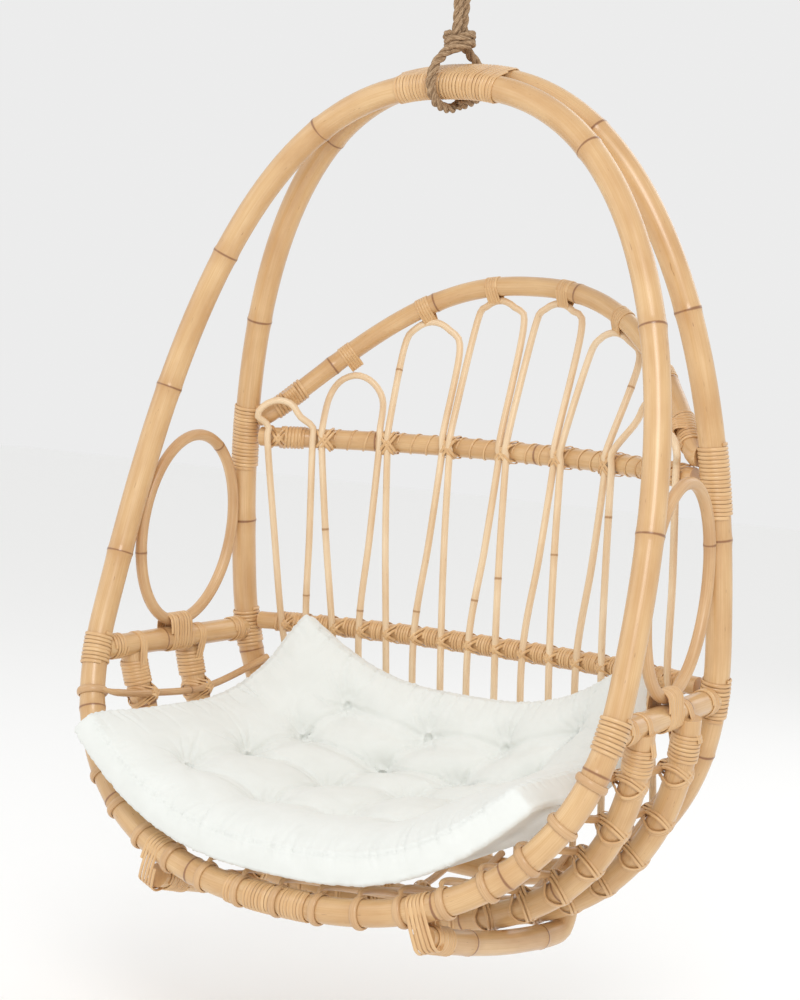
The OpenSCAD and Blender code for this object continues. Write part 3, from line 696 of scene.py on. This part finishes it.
rib_crossings, rib_feet = [], []
for k in range(-8, 9):
    t = rib_angle(k)
    foot = front_at(180 - t)
    run = (front_at(180 - t + 2) - front_at(180 - t - 2)).normalized()
    up_in = inward(front_at(180 - t + 2), front_at(180 - t - 2))
    up_in = (up_in - run * up_in.dot(run)).normalized()
    ahead_y = run.cross(up_in)
    if ahead_y.y > 0:
        ahead_y = -ahead_y
    seats = []
    for which in (0, 1):
        square = inward(seat_at(which, t - 2), seat_at(which, t + 2))
        seats.append(seat_at(which, t) + square * OVER_POLE)
        rib_crossings.append((which, t, seat_at(which, t), square))
    back_in = inward(back_at(180 - t + 2), back_at(180 - t - 2))
    back_end = back_at(180 - t) + back_in * OVER_POLE
    rest = foot + up_in * OVER_POLE
    tuck = foot + up_in * (POLE_R + 1.6) + ahead_y
    line = smooth_line([back_end + Vector((0, 4, 0)), seats[1], seats[0], rest - ahead_y * 30, tuck], 14)
    pole(f"seat_rib_{k + 9}_cane", line, RIB_D, SIDE, peeled_cane, [150 + 20 * (k % 3)],
         [f"seat_rib_{k + 9}"], "cane", sides=12, step_mm=6.0, seed=40 + k, thin_mm=28)
    rib_feet.append((foot, run, up_in, ahead_y))

# Each rib's front end, split to half its thickness and bent once round the front hoop.
bm = new_work()
half_round = [(2.9 * c, 5.6 * s) for c, s in circle(14)]
half_round = [(max(a, -1.2) * MM, b * MM) for a, b in half_round]
for n, (foot, run, up_in, ahead_y) in enumerate(rib_feet):
    rng = random.Random(300 + n)
    line, outs = [], []
    tip = rng.uniform(-1.2, 1.2)
    for c, s in circle(48):
        way = up_in * c + ahead_y * s
        line.append((foot + way * (POLE_R + 1.5) + run * (tip * c)) * MM)
        outs.append(way)
    sweep(bm, line, outs, half_round, 1.0, ring=True, shift=rng.uniform(0, 30))
finish_piece(bm, "rib_rings_cane", peeled_cane, replaces=["rib_rings"])

# ---- Foot runners ------------------------------------------------------------------------
# Ø34 poles bent under the seat. The front end is lashed below the front hoop, and the rear
# end hooks up behind the second seat hoop.

RUNNER_D = 34.0
RUNNER_T = (rib_angle(3) + rib_angle(4)) / 2
slant = seat_at(1, RUNNER_T + 1) - seat_at(1, RUNNER_T - 1)
runner_under = ((2 * POLE_R + RUNNER_D) / 2 + 1) * slant.length / slant.x
runner_front, runner_mid, runner_rear = front_at(180 - RUNNER_T), seat_at(0, RUNNER_T), seat_at(1, RUNNER_T)
runner_route = [
    runner_front - UP * runner_under,
    mix(runner_front, runner_mid, 0.45) - UP * (runner_under + 4),
    runner_mid - UP * (runner_under + 1),
    runner_rear - UP * runner_under,
    runner_rear + Vector((0, 0.74, -0.74)) * runner_under,
    runner_rear + Vector((0, runner_under + 1, 4)),
]
runner_line = smooth_line(runner_route, 16)
pole_pair("runner", "pole", runner_line, RUNNER_D, SIDE, varnished_pole, ([110, 300], [170]), seed=60)

# ---- Bindings ----------------------------------------------------------------------------
# Split cane, about 5 mm wide and 2 mm thick, wound wet in close turns round each joint. It
# shrinks tight as it dries. The turns lie edge to edge and are never quite even.

STRIP_W, STRIP_T = 5.4, 2.0


def strip_outline(width, thick):
    """A strip's section: flat under, slightly domed on top."""
    return [(thick * a, width * b) for a, b in (
        (-0.5, -0.46), (-0.5, 0.46), (0.0, 0.5), (0.38, 0.34), (0.5, 0.0), (0.38, -0.34), (0.0, -0.5))]


def capsule(a, radius, apart):
    """A point and its outward direction on the outline round two poles side by side."""
    c, s = math.cos(a), math.sin(a)
    return Vector((radius * c, radius * s + apart / 2 * max(-1, min(1, 2.2 * s)))), Vector((c, s))


def wind(bm, spine, radius, ref, width=STRIP_W, thick=STRIP_T, apart=0.0, seed=0, per_turn=26, turns=None):
    """Winds a strip round a pole, or round two, along a spine in millimetres."""
    rng = random.Random(seed)
    length = line_length(spine)
    turns = turns or max(2, round(length / (width * 1.03)))
    count = turns * per_turn + 1
    spread = [rng.uniform(-0.35, 0.35) for _ in range(turns + 2)]
    lift = [rng.uniform(0, 0.35) for _ in range(turns + 2)]
    steps = respace(spine, max(len(spine), 24))
    line, outs = [], []
    for i in range(count):
        s = i / (count - 1)
        k = s * (len(steps) - 1)
        j = min(int(k), len(steps) - 2)
        t = (steps[j + 1] - steps[j]).normalized()
        centre = steps[j].lerp(steps[j + 1], k - j)
        u = (ref - t * ref.dot(t)).normalized()
        w = t.cross(u)
        turn = i / per_turn
        g = min(int(turn), turns)
        f = turn - g
        drift = mix(spread[g], spread[g + 1], f)
        place, normal = capsule(math.tau * turn, radius + thick / 2 + mix(lift[g], lift[g + 1], f), apart)
        line.append((centre + w * place.x + u * place.y + t * drift) * MM)
        outs.append(w * normal.x + u * normal.y)
    outline = [(a * MM, b * MM) for a, b in strip_outline(width * 0.93, thick)]
    sweep(bm, line, outs, outline, 1.0, shift=rng.uniform(0, 30))


def wind_pair(bm, spine, radius, ref, seed, **how):
    for k, run in enumerate((spine, flipped(spine))):
        wind(bm, run, radius, ref, seed=seed + k, **how)


def even_steps(a, b, count):
    return [mix(a, b, k / (count - 1)) for k in range(count)]


def taut(points):
    """The line a strip takes when it is pulled tight round some points in a plane."""
    points = sorted(points, key=lambda p: (p.x, p.y))
    sides = []
    for run in (points, points[::-1]):
        side = []
        for p in run:
            while len(side) > 1 and (side[-1] - side[-2]).cross(p - side[-2]) <= 0:
                side.pop()
            side.append(p)
        sides.append(side[:-1])
    return sides[0] + sides[1]


def tie_round(bm, centre, wide, high, rounds, width=4.0, thick=1.5, shift=0.0, axes=None):
    """One closed turn of strip, pulled tight in the plane of wide and high round some ovals."""
    ring = []
    for x, y, half_x, half_y in rounds:
        for c, s in circle(40):
            ring.append(Vector((x + (half_x + thick / 2) * c, y + (half_y + thick / 2) * s)))
    flat = taut(ring)
    flat = respace(flat + [flat[0]], 45)[:-1]
    line, outs = [], []
    for i, p in enumerate(flat):
        t = heading(flat, i, True)
        line.append((centre + wide * p.x + high * p.y) * MM)
        facing = wide * t.y - high * t.x
        if axes:
            axis = axes[1] if p.y > rounds[0][3] else axes[0]
            facing = facing - axis * facing.dot(axis) * 0.9
        outs.append(facing)
    outline = [(x * MM, y * MM) for x, y in strip_outline(width, thick)]
    sweep(bm, line, outs, outline, 1.0, ring=True, shift=shift)


def lash(bm, under, under_dir, under_r, over_r, out, tilt, width=4.0, slides=(0.0,), seed=0, over_wide=None):
    """Slanting turns of strip that hold a cane on top of a pole it crosses."""
    rng = random.Random(seed)
    out = out.normalized()
    a = (under_dir - out * under_dir.dot(out)).normalized()
    b = out.cross(a)
    for sign in (1, -1):
        turn = math.radians(sign * (tilt + rng.uniform(-3, 3)))
        d = a * math.cos(turn) + b * math.sin(turn)
        wide_under = under_r / abs(math.sin(turn))
        wide_over = (over_wide or over_r) / max(abs(math.cos(turn)), 0.3)
        for slide in slides:
            tie_round(bm, under + out.cross(d) * (slide + rng.uniform(-0.4, 0.4)), d, out,
                      [(0, 0, wide_under, under_r), (0, under_r + over_r + 0.3, wide_over, over_r)],
                      width, shift=rng.uniform(0, 30), axes=(a, b))


# Cane strip: the split outer skin, tan and satin, each turn a slightly different tone.
cane_strip = rattan_finish("split_cane_strip", "#ECCB9B", "#D6A971", "#B98753", "#835530", 0.36, 0.8)


def finish_strips(bm, name, replaces=()):
    finish_piece(bm, name, cane_strip, replaces=replaces)


def arc(at, middle, half):
    return [at(t) for t in even_steps(middle - half, middle + half, 16)]


def top_x_angle(x, width):
    """The angle of an egg's upper point at some distance from its middle."""
    return math.copysign(math.degrees(math.asin((abs(x) / (width / 2)) ** (1 / EGG))), x)


TOP_HALF = 84.0
bm = new_work()
spine = [(front_at(top_x_angle(x, FRONT_W)) + back_at(top_x_angle(x, BACK_W))) / 2
         for x in even_steps(-TOP_HALF, TOP_HALF, 40)]
apart = back_at(0) - front_at(0)
wind(bm, spine, POLE_R + 0.6, apart.normalized(), apart=apart.length, seed=70, per_turn=40)
finish_strips(bm, "top_binding_cane", ["top_binding"])

ASKEW = Vector((0.3, 1, 0.2))
binding_jobs = {
    "front_arm_bindings": [(arc(front_at, ARM_FRONT_T, 3.2), POLE_R)],
    "back_arm_bindings": [(arc(back_at, ARM_BACK_T, 3.6), POLE_R)],
    "mid_rail_bindings": [(arc(back_at, MID_T, 3.6), POLE_R)],
    "seat_hoop_bindings": [(arc(lambda t, w=w: seat_at(w, t), seat_end(w) - 2.9, 2.5), POLE_R) for w in (0, 1)],
    "runner_bindings": [(runner_line[3:11], RUNNER_D / 2)],
}
for number, (node, jobs) in enumerate(binding_jobs.items()):
    bm = new_work()
    for j, (spine, radius) in enumerate(jobs):
        wind_pair(bm, spine, radius + 0.5, ASKEW, 80 + 10 * number + 2 * j)
    finish_strips(bm, node + "_cane", [node])

# Scarf joint: the front hoop's ends are cut to long slants, and bound over between two ribs.
bm = new_work()
for n, (x0, x1) in enumerate(((-86, -70), (-52, -8), (8, 50))):
    spine = [front_at(180 - top_x_angle(x, FRONT_W)) for x in even_steps(x0, x1, 13)]
    wind(bm, spine, POLE_R + 0.4, ASKEW, seed=170 + n)
under = runner_line[0] - runner_front
spine = [p + under / 2 for p in arc(front_at, 180 - RUNNER_T, 2.2)]
wind_pair(bm, spine, POLE_R - 0.6, UP, 180, apart=under.length, per_turn=40)
finish_strips(bm, "front_hoop_bindings_cane")

# Rail ends: a few turns round each arm rail and back rail, hard against its hoop.
bm = new_work()
for s0, s1 in ((0.075, 0.145), (0.865, 0.93)):
    wind_pair(bm, [arm_front.lerp(arm_back, s) for s in even_steps(s0, s1, 9)], ARM_D / 2 + 0.3, UP, 140)
for rail, first, last, diameter in (
    (mid_line, 111, 117, MID_D), (lower_line, 110, 117, LOWER_D), (arch_line, 112, 118, ARCH_D),
):
    wind_pair(bm, rail[first:last], diameter / 2 + 0.3, Vector((0, 0.3, 1)), 150)
finish_strips(bm, "rail_end_bindings_cane")

# Ring ties: one broad band, seven turns, over the side ring's foot and under the arm rail.
bm = new_work()
tie_share = ((front_y_at(ARM) + back_y_at(ARM)) / 2 - arm_front.y) / (arm_back.y - arm_front.y)
centre = arm_front.lerp(arm_back, tie_share) + UP * (RING_D / 2 + 1)
wind_pair(bm, [centre + arm_run * d for d in even_steps(-23, 23, 9)], ARM_D / 2 - 1.0, UP, 160,
          apart=RING_D + 6, per_turn=36)
finish_strips(bm, "ring_ties_cane", ["ring_ties"])

# ---- Lashings ------------------------------------------------------------------------------
# Where canes cross a pole they are tied with crossed turns of narrow strip: every rib on
# both seat hoops, every leg on both back rails, and every loop's top to the arch.

bm = new_work()
for i, (which, t, centre, square) in enumerate(rib_crossings):
    run = seat_at(which, t + 2) - seat_at(which, t - 2)
    lash(bm, centre, run, POLE_R, RIB_D / 2, square, 52, width=4.4, slides=(-5.0, 0.0, 5.0), seed=200 + i)
finish_strips(bm, "seat_lashings_cane")



def both_hands(distances):
    return sorted({-x for x in distances} | set(distances))


def rail_tie(bm, x, rail_y, z, rail_d, tilt, **how):
    slant = (rail_y(x + 1) - rail_y(x - 1)) / 2
    lash(bm, Vector((x, rail_y(x), z)), Vector((1, slant, 0)), rail_d / 2, CANE_D / 2, Vector((slant, -1, 0)),
         tilt, **how)


TIE_HALF = 12
bm = new_work()
for n in range(5):
    for x in both_hands([CROSS_X[n]]):
        rail_tie(bm, x, mid_y, MID_Z, MID_D, 52, width=4.4, slides=(-2.6, 2.6), seed=400 + n,
                 over_wide=CANE_D if n < 4 else CANE_D / 2)
# A single strip climbs the rail from tie to tie.
crossings = both_hands(CROSS_X)
for a, b in zip(crossings, crossings[1:]):
    spine = [Vector((x, mid_y(x), MID_Z)) for x in even_steps(a + TIE_HALF, b - TIE_HALF, 9)]
    wind(bm, spine, MID_D / 2 + 0.1, UP, width=3.4, thick=1.2, seed=460 + int(a) % 7,
         turns=max(2, round((b - a) / 34)))
finish_strips(bm, "mid_rail_lashings_cane")

bm = new_work()
feet = both_hands(LEG_X)
for n, x in enumerate(feet):
    rail_tie(bm, x, lower_y, LOWER_Z, LOWER_D, 48, width=4.2, slides=(-2.4, 2.4), seed=440 + n)
# Between its crossings the lower rail is wound all the way.
for a, b in zip(feet, feet[1:]):
    spine = [Vector((x, lower_y(x), LOWER_Z)) for x in even_steps(a + TIE_HALF, b - TIE_HALF, 7)]
    wind(bm, spine, LOWER_D / 2 + 0.2, UP, width=4.6, seed=500 + int(a), per_turn=20)
finish_strips(bm, "lower_rail_lashings_cane")

bm = new_work()
for n, top in enumerate(loop_tops):
    for flip in (False, True):
        x = -top.x if flip else top.x
        centre = Vector((x, arch_y(x), arch_top(x)))
        run = Vector((2, arch_y(x + 1) - arch_y(x - 1), arch_top(x + 1) - arch_top(x - 1))).normalized()
        out = Vector((x, top.y, top.z)) - centre
        out = (out - run * out.dot(run)).normalized()
        across_arch = run.cross(out)
        for slide in (-8.4, -4.2, 0, 4.2, 8.4):
            tie_round(bm, centre + run * slide, across_arch, out,
                      [(0, 0, ARCH_D / 2, ARCH_D / 2),
                       (0, (ARCH_D + CANE_D) / 2 + 0.4, CANE_D / 2, CANE_D / 2)],
                      4.1, shift=slide + 3 * n)
finish_strips(bm, "arch_lashings_cane")

# Saddles: three strips pass over each arm rail and down inside the turns on a seat hoop's top.
bm = new_work()
for which in (0, 1):
    top = seat_at(which, seat_end(which))
    share = (top.y - arm_front.y) / (arm_back.y - arm_front.y)
    on_rail = arm_front.lerp(arm_back, share)
    drop = on_rail.z - top.z + 14
    for flip in (-1, 1):
        flat_run = Vector((arm_run.x * flip, arm_run.y, 0)).normalized()
        side_way = flat_run.cross(UP)
        shift_x = Vector(((top.x - on_rail.x) * flip, top.y - on_rail.y, 0)).dot(side_way)
        for slide in (-5.0, 0, 5.0):
            half = math.sqrt((POLE_R + 2.2) ** 2 - slide ** 2)
            tie_round(bm, Vector((on_rail.x * flip, on_rail.y, on_rail.z)) + flat_run * slide, side_way, UP,
                      [(0, 0, ARM_D / 2, ARM_D / 2), (shift_x, -drop, half, 3)], 4.9, shift=slide + 9 * which)
finish_strips(bm, "seat_hoop_saddles_cane")

# ---- Cushion -------------------------------------------------------------------------------
# A loose square pad of off-white cotton, boxed at the border and tufted four by four
# through its filling. It is dished to the seat and curls up against the back.

# From front to back: how far back, how high, how much its sides rise, and half its width.
ROOM = FRONT_W / 2 - POLE_R - 2 * RIB_D
STATIONS = [Vector(s) for s in (
    (0, 4, 160, ROOM - 18), (90, 0, 158, ROOM - 18), (190, 0, 156, ROOM - 18), (290, 2, 156, ROOM - 20),
    (370, 20, 164, ROOM - 36), (432, 84, 142, ROOM - 60), (472, 190, 102, ROOM - 92))]
PAD_FRONT = front_at(180).y - 26
PAD_BASE = POLE_R + RIB_D + 2
PAD_T, BORDER_T = 92.0, 44.0
# Each tuft is listed: how far across from the middle, and how far from front to back.
TUFTS = [
    [(-0.72, 0.20), (-0.32, 0.23), (0.02, 0.26), (0.40, 0.24)],
    [(-0.71, 0.43), (-0.31, 0.48), (0.05, 0.53), (0.45, 0.48)],
    [(-0.69, 0.69), (-0.25, 0.73), (0.17, 0.73), (0.62, 0.69)],
    [(-0.60, 0.89), (-0.12, 0.89), (0.32, 0.89), (0.76, 0.87)],
]


def pad_low(u, v):
    """The pad's underside: u runs across it from -1 to 1, and v from front to back."""
    last = len(STATIONS) - 1
    i = max(0, min(int(v * last), last - 1))
    w = curve_at(STATIONS, i, v * last - i)
    return Vector((w[3] * u, PAD_FRONT + w[0] - 30 * v * u * u,
                   FOOT_Z + PAD_BASE + w[1] + w[2] * abs(u) ** 2.8))


def pad_up(u, v):
    e = 0.01
    return (pad_low(u + e, v) - pad_low(u - e, v)).cross(
        pad_low(u, min(v + e, 1)) - pad_low(u, max(v - e, 0))).normalized()


def pad_point(u, v, height):
    """A point of the pad. Its sides pull in between the corners, and it lies a little askew."""
    v2 = v + (1 - v) * 0.12 * max(u, 0) ** 2
    u2 = u * (1 - 0.03 * (1 - (2 * v - 1) ** 2))
    v2 = 0.5 + (v2 - 0.5) * (0.985 - 0.02 * (1 - u * u))
    blunt = 1 - 0.022 * (abs(u) * abs(2 * v - 1)) ** 7
    u2, v2 = u2 * blunt, 0.5 + (v2 - 0.5) * blunt
    p = pad_low(u2 * 0.985, v2) + pad_up(u2 * 0.985, v2) * height
    return p + Vector((26 * v ** 3, 0, 0))


CLOTH_HALF, CLOTH_LONG, CLOTH_CURL = 430, 590, 55


def cloth_place(u, v):
    """How far round the cloth a point lies, across and back, in millimetres."""
    return (CLOTH_HALF - CLOTH_CURL) * u + CLOTH_CURL * u * abs(u) ** 2, CLOTH_LONG * v


tuft_places = [[cloth_place(*t) for t in row] for row in TUFTS]
# Creases run from tuft to tuft, and pleats spread from each tuft and in from the border.
# Each one is its two ends, how deep and how wide it is, and how much of it lasts to its far end.
creases = []
for r in range(4):
    for c in range(4):
        if c < 3:
            creases.append((*tuft_places[r][c], *tuft_places[r][c + 1], 4.6, 3.8, 0.6))
        if r < 3:
            creases.append((*tuft_places[r][c], *tuft_places[r + 1][c], 4.8, 3.8, 0.6))
valleys = [crease[:4] for crease in creases]
pleats = random.Random(7)
for r in range(4):
    for c in range(4):
        x, y = tuft_places[r][c]
        for k in range(13):
            angle = math.tau * (k + pleats.uniform(-0.35, 0.35)) / 13
            long = pleats.uniform(24, 58)
            dx, dy = math.cos(angle), math.sin(angle)
            if r == 0 and dy < -0.5 or r == 3 and dy > 0.6 or c == 0 and dx < -0.6 or c == 3 and dx > 0.6:
                long = pleats.uniform(60, 110)
            creases.append((x, y, x + dx * long, y + dy * long, pleats.uniform(1.6, 3.6), 3.0, 0.0))
for k in range(34):
    x = -400 + 800 * (k + pleats.uniform(-0.3, 0.3)) / 33
    creases.append((x, 0, x + pleats.uniform(-14, 14), pleats.uniform(24, 70),
                    pleats.uniform(1.2, 3.0), 3.0, 0.0))
for k in range(24):
    y = CLOTH_LONG * (k + pleats.uniform(-0.3, 0.3)) / 23
    for edge in (-1, 1):
        x = edge * 380 * (2 * k / 23 - 1)
        creases.append((edge * CLOTH_HALF, y, edge * (CLOTH_HALF - pleats.uniform(24, 80)),
                        y + pleats.uniform(-14, 14), pleats.uniform(1.2, 3.0), 3.0, 0.0))
        creases.append((x, CLOTH_LONG, x + pleats.uniform(-10, 10), CLOTH_LONG - pleats.uniform(20, 60),
                        pleats.uniform(1.0, 2.2), 3.0, 0.0))


def fullness(u, v):
    """How full the stuffing is: 0 at the border and at a tuft, and 1 between them."""
    full = border_fade(u, v)
    x, y = cloth_place(u, v)
    for row in tuft_places:
        for tx, ty in row:
            full *= 1 - 0.86 * math.exp(-math.hypot(x - tx, y - ty) / 38)
    for x0, y0, x1, y1 in valleys:
        dx, dy = x1 - x0, y1 - y0
        along = max(0, min(1, ((x - x0) * dx + (y - y0) * dy) / (dx * dx + dy * dy)))
        full *= 1 - 0.30 * math.exp(-(math.hypot(x - x0 - dx * along, y - y0 - dy * along) / 20) ** 2)
    return full


def border_fade(u, v):
    return (1 - abs(u) ** 6) * (1 - abs(2 * v - 1) ** 6)


# The pad is cut as two flat sheets joined by a wall, and each point is then put in its place.
bm = new_work()
PAD_NU, PAD_NV, PAD_LEVELS = 132, 100, 6
for level in (0, 1):
    made = bmesh.ops.create_grid(bm, x_segments=PAD_NU, y_segments=PAD_NV, size=1.0)["verts"]
    for v in made:
        v.co.z = level
rims = [e for e in bm.edges if e.is_boundary]
sides = bmesh.ops.bridge_loops(bm, edges=rims)
walls = list({e for f in sides["faces"] for e in f.edges if abs(e.verts[0].co.z - e.verts[1].co.z) > 0.5})
bmesh.ops.subdivide_edges(bm, edges=walls, cuts=PAD_LEVELS - 1, use_grid_fill=True)
for v in bm.verts:
    u, w, level = v.co
    w = (w + 1) / 2
    full = fullness(u, w)
    swell = 7 * (1 - (2 * level - 1) ** 2)
    if level < 0.01:
        v.co = pad_point(u, w, 3 + 9 * (1 - full) * border_fade(u, w)) * MM
    elif level > 0.99:
        v.co = pad_point(u, w, mix(BORDER_T, PAD_T, full)) * MM
    else:
        out = Vector((u if abs(u) > 0.999 else 0, 2 * w - 1 if abs(2 * w - 1) > 0.999 else 0, 0))
        v.co = (pad_point(u, w, mix(3, BORDER_T, level)) + out * swell * 0.5) * MM
bmesh.ops.recalc_face_normals(bm, faces=bm.faces[:])


def arc_sample(u, v, height):
    """A place on the cloth, the directions across and back there, and how far round it lies."""
    e = 0.004
    p = pad_point(u, v, height) * MM
    across_way = pad_point(u + e, v, height) * MM - p
    back_way = pad_point(u, v + e, height) * MM - p
    return p, across_way.normalized(), back_way.normalized(), cloth_place(u, v)


def top_height(u, v):
    return mix(BORDER_T, PAD_T, fullness(u, v))


top_samples = [arc_sample(u, v, top_height(u, v)) for u in (-1 + 2 * i / 120 for i in range(121))
               for v in (j / 90 for j in range(91))]
seam_points = []
for height in (3, BORDER_T):
    for k in range(400):
        q = 8 * k / 400
        u, v = ((-1 + q, 0), (1, (q - 2) / 2), (1 - (q - 4), 1), (-1, 1 - (q - 6) / 2))[int(q / 2)]
        seam_points.append(pad_point(u, v, height) * MM)
button_points = []
for row in TUFTS:
    for u, v in row:
        button_points += [pad_point(u, v, top_height(u, v)) * MM, pad_point(u, v, 12) * MM]


def as_modified(piece):
    """A piece's mesh as its modifiers leave it."""
    bpy.context.view_layer.update()
    return bpy.data.meshes.new_from_object(piece.evaluated_get(bpy.context.evaluated_depsgraph_get()))


def tree_of(points):
    tree = KDTree(len(points))
    for i, p in enumerate(points):
        tree.insert(p, i)
    tree.balance()
    return tree


seam_tree, button_tree = tree_of(seam_points), tree_of(button_points)
# Stuffing: the cotton is blown up gently, held at its seams and tufts.
blank_mesh = bpy.data.meshes.new("pad_blank")
bm.to_mesh(blank_mesh)
bm.free()
blank = put("pad_blank", blank_mesh)
remesh = blank.modifiers.new("remesh", "REMESH")
remesh.mode = "VOXEL"
remesh.voxel_size = 6.5 * MM
fine = as_modified(blank)
blank.modifiers.clear()
blank.data = fine
held = blank.vertex_groups.new(name="held")
start = [v.co.copy() for v in fine.vertices]
for i, p in enumerate(start):
    near = min(seam_tree.find(p)[2] / 5, button_tree.find(p)[2] / 9) / MM
    if near < 1:
        held.add([i], 1.0, "REPLACE")
stuffing = blank.modifiers.new("stuffing", "CLOTH")
stuffing.settings.quality = 5
stuffing.settings.mass = 0.3
stuffing.settings.bending_stiffness = 0.3
stuffing.settings.use_pressure = True
stuffing.settings.uniform_pressure_force = 4
stuffing.settings.effector_weights.gravity = 0
stuffing.settings.vertex_group_mass = "held"
for step in range(1, 21):
    bpy.context.scene.frame_set(step)
blown = as_modified(blank)
for v, p in zip(blown.vertices, start):
    move = v.co - p
    limit = min(18 * MM, 2.5 * MM + 0.42 * button_tree.find(p)[2])
    v.co = p + move * min(1, limit / max(move.length, 1e-9))
bpy.context.scene.frame_set(1)
blank.modifiers.clear()
blank.data = blown
finer = blank.modifiers.new("finer", "SUBSURF")
finer.levels = finer.render_levels = 1
blown = as_modified(blank)
bpy.data.objects.remove(blank)
bm = new_work()
bm.from_mesh(blown)
bmesh.ops.recalc_face_normals(bm, faces=bm.faces[:])

# Creases, pleats and seams are pressed into the cloth after the stuffing.
bm.normal_update()
sample_tree = tree_of([s[0] for s in top_samples])
points = [v.co.copy() for v in bm.verts]
normals = [v.normal.copy() for v in bm.verts]
place = np.zeros((len(points), 2))
reach = np.zeros(len(points))
for i, p in enumerate(points):
    q, k, d = sample_tree.find(p)
    base, across_way, back_way, at = top_samples[k]
    gap = p - base
    place[i] = at[0] + gap.dot(across_way) / MM, at[1] + gap.dot(back_way) / MM
    reach[i] = max(0.0, 1 - d / (22 * MM))
DEEPEST_CREASE = 6.0
press = np.zeros(len(points))
for x0, y0, x1, y1, deep, wide, keep in creases:
    dx, dy = x1 - x0, y1 - y0
    long = math.hypot(dx, dy)
    rx, ry = place[:, 0] - x0, place[:, 1] - y0
    s = np.clip((rx * dx + ry * dy) / long ** 2, 0, 1)
    bow = 9 * np.sin(np.pi * s) * (1 if keep else 0.3)
    off = (rx * dy - ry * dx) / long + bow
    past = np.hypot(rx - dx * s, ry - dy * s) - np.abs((rx * dy - ry * dx) / long)
    fade = np.exp(-(np.maximum(past, 0) / 4) ** 2) * (keep + (1 - keep) * (1 - s) ** 0.8)
    if keep:
        fade = fade * (0.35 + 0.65 * np.abs(2 * s - 1))
    valley = np.exp(-(off / wide) ** 2) - 0.32 * np.exp(-((np.abs(off) - 2.1 * wide) / wide) ** 2)
    press -= deep * fade * valley
press = np.where(press < 0, -DEEPEST_CREASE * np.tanh(-press / DEEPEST_CREASE), press) * reach
pucker = random.Random(11)
wave = [(pucker.uniform(0.25, 0.6), pucker.uniform(0, 6), pucker.uniform(-0.5, 0.5)) for _ in range(5)]
for i, v in enumerate(bm.verts):
    q, k, d = seam_tree.find(points[i])
    d /= MM
    if d < 22:
        run = (k % 400) * 6.0
        ripple = sum(math.sin(run * f + p) * (0.6 + a) for f, p, a in wave) / 3
        press[i] += 1.1 * math.exp(-((d - 5) / 3) ** 2) - 2.4 * math.exp(-(d / 2.6) ** 2)
        press[i] += 0.7 * ripple * math.exp(-(d / 11) ** 2)
    v.co = points[i] + normals[i] * float(press[i]) * MM

# Plain-woven cotton: matt off-white, threads about 0.4 mm apart drawn at 1 mm.
cotton = new_material("plain_woven_cotton")
where = add(cotton, "TexCoord").outputs["Object"]
threads = noise(cotton, where, 2.0, (1000, 1000, 1000))
fold_and_shade = add(cotton, "TexNoise", {"Vector": where, "Scale": 26.0, "Detail": 4.0,
                                "Distortion": 0.6}).outputs["Fac"]
weave_bump = bump(cotton, threads, 0.25, 0.3, Normal=bump(cotton, fold_and_shade, 0.25, 2.5))
# Painted shade: the cloth is drawn a little greyer where the fold noise dips, in the hollows of its fold bump.
close_material(cotton, blend(cotton, fold_and_shade, "#DDDFDA", "#E8EAE6"), 0.92, Normal=weave_bump, Sheen_Weight=0.15)
cushion = finish_piece(bm, "cushion_cotton", cotton, body="cushion", replaces=["cushion"])

# ---- Light and floor -------------------------------------------------------------------------
# A pale floor well below the hanging chair, with soft light from three large square panels
# and an even white surround.

FLOOR_Z = -1.75
bm = bmesh.new()
bmesh.ops.create_grid(bm, x_segments=1, y_segments=1, size=14)
bmesh.ops.translate(bm, vec=(0, 0, FLOOR_Z), verts=bm.verts[:])
mesh = bpy.data.meshes.new("floor")
bm.to_mesh(mesh)
bm.free()
floor = put("floor", mesh)
pale = new_material("pale_floor")
close_material(pale, paint("#FDFDFC"), 0.9)
mesh.materials.append(pale)


def panel(name, place, aim, size, power_w):
    light = bpy.data.lights.new(name, "AREA")
    light.shape = "SQUARE"
    light.size = size
    light.energy = power_w
    lamp = put(name, light)
    lamp.location = place
    lamp.rotation_euler = (Vector(aim) - Vector(place)).to_track_quat("-Z", "Y").to_euler()


panel("key_panel", (2.3, -3.1, 1.3), (0, 0, -1.0), 1.6, 66)
panel("fill_panel", (-2.8, -2.2, 0.6), (0, 0, -0.9), 2.4, 14)
panel("back_panel", (0.5, 3.2, 1.2), (0, 0, -0.9), 2.4, 20)
world = bpy.data.worlds.new("studio")
bpy.context.scene.world = world
world.use_nodes = True
sky = world.node_tree.nodes["Background"].inputs
sky["Color"].default_value, sky["Strength"].default_value = paint("#FFFFFF"), 0.84
bpy.context.scene.view_settings.view_transform = "Standard"
